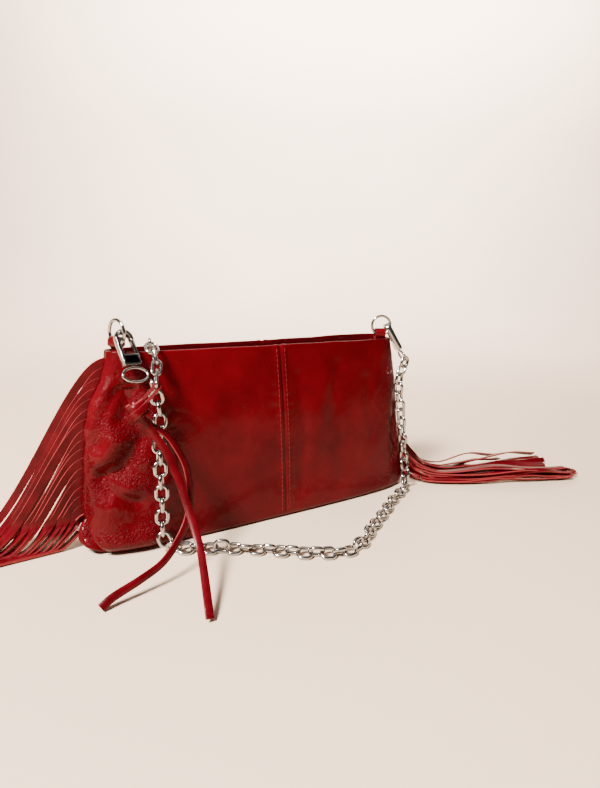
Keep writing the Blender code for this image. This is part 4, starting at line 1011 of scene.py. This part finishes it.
def make_inside():
    """Base leather, base board, lining with its pocket, and the zip's woven tapes."""
    turns = np.linspace(0, 2 * math.pi, 97)[:-1]

    def ring(height, inset):
        half_length, half_depth, middle = outline_size(height)
        c, s = np.cos(turns), np.sin(turns)
        scale = (np.abs(c) ** SQUARENESS + np.abs(s) ** SQUARENESS) ** (-1 / SQUARENESS)
        return np.stack([middle + (half_length - inset) * c * scale, (half_depth - inset) * s * scale,
                         np.full(len(c), height)], axis=1)

    def closed_stack(rings):
        return np.concatenate(rings), sleeve_faces(len(rings), len(turns))

    def slab(*levels):
        return closed_stack([ring(height, inset) for height, inset in levels])

    points, faces = slab((0.0010, 0.0092), (0.0008, 0.0086), (0.0016, 0.0082), (0.0020, 0.0088))
    base = new_piece("leather_base", points, faces, ["patent"], crinkle=np.full(len(points), 0.3), sharp=60)
    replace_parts(base, "base_panel")
    points, faces = slab((0.0026, 0.0098), (0.0023, 0.0092), (0.0034, 0.0092), (0.0037, 0.0098))
    board = new_piece("base_board", points, faces, ["board"], sharp=60)
    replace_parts(board, "base_stiffener")

    rings = []
    levels = [(0.0044, 0.018), (0.0042, 0.013), (0.0060, 0.0098), (0.012, 0.0088)]
    levels += [(mix(0.016, 0.120, k / 20), mix(0.0086, 0.0036, k / 20)) for k in range(21)]
    levels += [(0.1236, 0.0032), (0.1238, 0.0040), (0.1190, 0.0045)]
    levels += [(mix(0.115, 0.012, k / 12), mix(0.0050, 0.0096, k / 12)) for k in range(13)]
    levels += [(0.0062, 0.0135), (0.0056, 0.019)]
    for height, inset in levels:
        row = ring(height, inset)
        sag = 0.0008 * gradient_noise(row * 45, 31) * ease((0.118 - height) / 0.03)
        row[:, 1] *= 1 + sag / 0.02
        rings.append(row)
    points, faces = closed_stack(rings)
    lining = new_piece("woven_lining", points, faces, ["lining"], sharp=60)
    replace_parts(lining, "lining")

    low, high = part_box("inner_pocket")
    columns, rows = 40, 20
    points = []
    for side in (0, 1):
        for c in range(columns):
            for r in range(rows):
                x = mix(low.x, high.x, c / (columns - 1))
                z = mix(low.z, high.z, r / (rows - 1))
                half_depth = float(outline_size(z)[1])
                bow = half_depth * (1 - abs(x / 0.14) ** 4) ** 0.25 - 0.0108 - 0.0009 * side
                points.append((x, bow + 0.0003 * math.sin(c * 0.5) * math.sin(r * 0.4), z))
    faces = grid_faces(columns, rows) + grid_faces(columns, rows, columns * rows, flip=True)
    rim = [c * rows for c in range(columns)] + [(columns - 1) * rows + r for r in range(1, rows)]
    rim += [c * rows + rows - 1 for c in range(columns - 2, -1, -1)] + [r for r in range(rows - 2, 0, -1)]
    shift = columns * rows
    faces += [(b, a, a + shift, b + shift) for a, b in zip(rim, rim[1:] + rim[:1])]
    pocket = new_piece("pocket_cloth", points, faces, ["lining"], sharp=60)
    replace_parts(pocket, "inner_pocket")

    for face, sign_y in (("front", -1), ("back", 1)):
        columns, rows = 160, 10
        points = []
        for side in (0, 1):
            for c in range(columns):
                x = ZIP_MIDDLE + mix(-ZIP_HALF_LENGTH, ZIP_HALF_LENGTH, c / (columns - 1))
                half_length, half_depth, middle = outline_size(ZIP_HEIGHT)
                outer = (half_depth - 0.0019) * (1 - abs((x - middle) / half_length) ** 4) ** 0.25
                for r in range(rows):
                    t = r / (rows - 1)
                    y = mix(0.0019, outer, t)
                    dip = -0.0009 * math.sin(math.pi * t) + 0.00018 * math.sin(c * 0.35) * math.sin(math.pi * t)
                    bead = 0.0004 * math.exp(-((t - 0.10) / 0.07) ** 2)
                    points.append((x, sign_y * y, ZIP_HEIGHT + dip + (0.0003 + bead if side else -0.0003)))
        faces = grid_faces(columns, rows, flip=sign_y > 0)
        faces += grid_faces(columns, rows, columns * rows, flip=sign_y < 0)
        tape = new_piece(f"woven_tape_{face}", points, faces, ["tape"])
        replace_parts(tape, f"zip_tape_{face}")


def make_teeth():
    """The zip's metal teeth, the two rows meshed along the middle, with its stops and slider."""
    pitch = 0.0021
    count = int(2 * ZIP_HALF_LENGTH / pitch)
    section = [(0.0023, 0.00055), (0.0021, 0.00072), (0.0006, 0.00072), (-0.0002, 0.00048), (-0.0005, 0.0002)]
    section += [(y, -z) for y, z in section[::-1]]
    for face, sign_y, shift in (("front", -1, 0.0), ("back", 1, 0.5)):
        parts = []
        for k in range(count):
            x = ZIP_MIDDLE - ZIP_HALF_LENGTH + (k + 0.25 + shift) * pitch
            points = []
            for dx in (-0.00062, -0.00045, 0.00045, 0.00062):
                shrink = 0.82 if abs(dx) > 0.0005 else 1.0
                for y, z in section:
                    narrow = 0.72 if y < 0.0005 else 1.0
                    points.append(Vector((x + dx * narrow, sign_y * y, ZIP_HEIGHT + z * shrink * 1.5)))
            faces = sleeve_faces(4, len(section))
            parts.append((points, [face[::-1] for face in faces] if sign_y < 0 else faces))
        points, faces = gather(parts)
        teeth = new_piece(f"metal_teeth_{face}", points, faces, ["metal"], sharp=40)
        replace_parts(teeth, f"zip_teeth_{face}")
    for end in ("left", "right"):
        polish_cad(f"zip_stop_{end}", "metal", 0.0004)
    polish_cad("zip_slider", "metal", 0.00035)


# ---------------------------------------------------------------- fringe
FRINGE_STRIPS, FRINGE_LENGTH, FRINGE_BOTTOM, FRINGE_TOP = 18, 0.235, 0.012, 0.140
STRIP_THICKNESS = 0.0013
# Where the strips head for on the floor: (share of the way up the seam, x, y).
HEADINGS = {
    "left": [(0.0, -0.366, -0.012), (1.0, -0.318, 0.062)],
    "right": [(0.0, 0.318, -0.100), (0.52, 0.331, -0.089), (0.58, 0.328, -0.068), (0.80, 0.338, -0.050),
              (0.86, 0.296, -0.036), (1.0, 0.308, -0.014)],
}
FANS = {
    "left": {"sign": -1, "reach": 0.62, "reach_low": 0.008,
             "leave": (0.25, 0.02), "land": (0.58, 0.80), "spread": 0.95,
             "length": FRINGE_LENGTH, "curl": 9, "lift": 0.0020, "lean": 20},
    "right": {"sign": 1, "reach": 0.50, "reach_low": 0.014, "leave": (0.05, 0.50), "land": (0.35, 0.95),
              "spread": 0.50, "length": None, "curl": 40, "lift": 0.0070, "lean": 26},
}


def bezier(points, t):
    while len(points) > 1:
        points = [a.lerp(b, t) for a, b in zip(points, points[1:])]
    return points[0]


def strip_line(facts, share, samples, rng):
    """A strip's middle line from the seam: it arcs down and then lies on the floor."""
    sign = facts["sign"]
    height = mix(FRINGE_BOTTOM, FRINGE_TOP, share)
    half_length, _, middle = outline_size(height)
    root = Vector((middle + sign * (float(half_length) - 0.0015), 0, height))
    root.x += float(end_shift(root.x, height))
    shares, ends_x, ends_y = zip(*HEADINGS["left" if sign < 0 else "right"])
    end_x = float(np.interp(share, shares, ends_x))
    end_y = float(np.interp(share, shares, ends_y)) + rng.uniform(-0.002, 0.002)
    reach = (facts["reach"] * height + facts["reach_low"]) * rng.uniform(0.94, 1.08)
    layer = int(share * FRINGE_STRIPS) % 5
    floor = 0.0012 + (0.0011 * rng.random() if sign < 0 else 0.0012 + 0.0016 * layer)
    drop = height - floor
    (out_1, down_1), (out_2, down_2) = facts["leave"], facts["land"]
    out_1 *= rng.uniform(0.75, 1.3)
    out_2 *= rng.uniform(0.92, 1.08)
    fall = [Vector((0, 0)), Vector((reach * out_1, down_1 * drop)), Vector((reach * out_2, down_2 * drop)),
            Vector((reach, drop))]
    far = abs(end_x - root.x)
    track = [bezier(fall, k / 60) for k in range(61)]
    track += [Vector((mix(reach, far * 1.3, k / 40), drop)) for k in range(1, 41)]
    phase, waves, size = rng.uniform(0, 6.28), rng.uniform(0.8, 2.0), facts["lift"] * rng.uniform(0.2, 0.9)
    hump, hump_at = facts["lift"] * rng.uniform(0.1, 1.0), rng.uniform(0.45, 0.8)
    dense = []
    for out, down in track:
        u = out / far
        lateral = end_y * u ** (facts["spread"] + 0.3 * share)
        lateral += size * math.sin(phase + waves * u * 3) * float(ease(u * 2.5))
        rise = hump * math.exp(-((u - hump_at) / 0.13) ** 2) + facts["lift"] * 0.35 * float(ease((u - 0.9) / 0.2))
        dense.append(root + Vector((sign * out, lateral, rise - down)))
    table = np.array([tuple(p) for p in dense])
    for _ in range(4):
        table[1:-1] = 0.25 * table[:-2] + 0.5 * table[1:-1] + 0.25 * table[2:]
    lengths = np.concatenate([[0], np.cumsum(np.linalg.norm(np.diff(table, axis=0), axis=1))])
    outs = np.abs(table[:, 0] - root.x)
    length = (facts["length"] or float(np.interp(far, outs, lengths))) * rng.uniform(0.95, 1.0)
    stops = np.linspace(0, length, samples)
    return np.stack([np.interp(stops, lengths, table[:, k]) for k in range(3)], axis=1)


def make_fringe(side):
    """A comb of leather: every strip a ribbon of its own line, twist and width."""
    facts = FANS[side]
    sign = facts["sign"]
    rng = np.random.default_rng(5 if side == "left" else 8)
    samples = 90
    lines = [strip_line(facts, (k + 0.5) / FRINGE_STRIPS, samples, rng) for k in range(FRINGE_STRIPS)]
    smooth = [strip_line(facts, (k + 0.5) / FRINGE_STRIPS, samples, np.random.default_rng(1))
              for k in range(FRINGE_STRIPS)]
    pitch = (FRINGE_TOP - FRINGE_BOTTOM) / FRINGE_STRIPS
    section = [(-0.5, -0.15), (-0.47, -0.5), (-0.2, -0.5), (0.2, -0.5), (0.47, -0.5), (0.5, -0.15),
               (0.5, 0.15), (0.47, 0.5), (0.2, 0.5), (-0.2, 0.5), (-0.47, 0.5), (-0.5, 0.15)]
    parts, slots = [], []
    for strip, line in enumerate(lines):
        below, above = smooth[max(strip - 1, 0)], smooth[min(strip + 1, FRINGE_STRIPS - 1)]
        curl = rng.uniform(-1, 1) * facts["curl"]
        swing = rng.uniform(0, 6.28)
        tilt = rng.uniform(-50, 50)
        width_here = rng.uniform(0.0050, 0.0059)
        points = []
        for i in range(samples):
            t = i / (samples - 1)
            tangent = Vector(line[min(i + 1, samples - 1)] - line[max(i - 1, 0)]).normalized()
            wide = Vector(above[i] - below[i]) if i else Vector((0, 0, 1))
            wide = (wide - tangent * wide.dot(tangent)).normalized()
            lie = float(ease((0.030 - line[i][2]) / 0.024))
            flat = Vector((0, 1, 0)) - tangent * tangent.y
            wide = wide.lerp(flat.normalized() * (1 if wide.y >= 0 else -1), lie).normalized()
            lean = facts["lean"] * sign * (1 - lie) + (tilt if sign > 0 else 0) * lie
            lean *= float(ease(t * 9))
            lean += curl * math.sin(swing + 5 * t) * float(ease(t * 4)) * (1 - 0.3 * lie)
            wide = (Matrix.Rotation(math.radians(lean), 3, tangent) @ wide).normalized()
            out = tangent.cross(wide).normalized()
            width = mix(pitch - 0.0008, width_here, float(ease(t * 7)))
            centre = Vector(line[i])
            for a, b in section:
                p = centre + wide * a * width + out * b * STRIP_THICKNESS
                p.z = max(p.z, FLOOR_CLEARANCE)
                points.append(p)
        slots += sleeve_slots(samples, (1, 2, 2, 2, 1, 1, 1, 0, 0, 0, 1, 1))
        parts.append((points, sleeve_faces(samples, len(section))))
    points, faces = gather(parts)
    fringe = new_piece(f"fringe_strips_{side}", points, faces, ["strip", "raw_pale", "strip"], slots, sharp=50)
    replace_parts(fringe, f"fringe_{side}")


make_camera()
make_stage()
make_chain()
make_tassel()
make_skin("front", -1, FRONT_FOLDS, 3)
make_skin("back", 1, BACK_FOLDS, 17)
stitched_seams()
make_inside()
make_teeth()
make_pull()
make_rings()
make_clasps()
make_tabs()
for side in ("left", "right"):
    make_fringe(side)
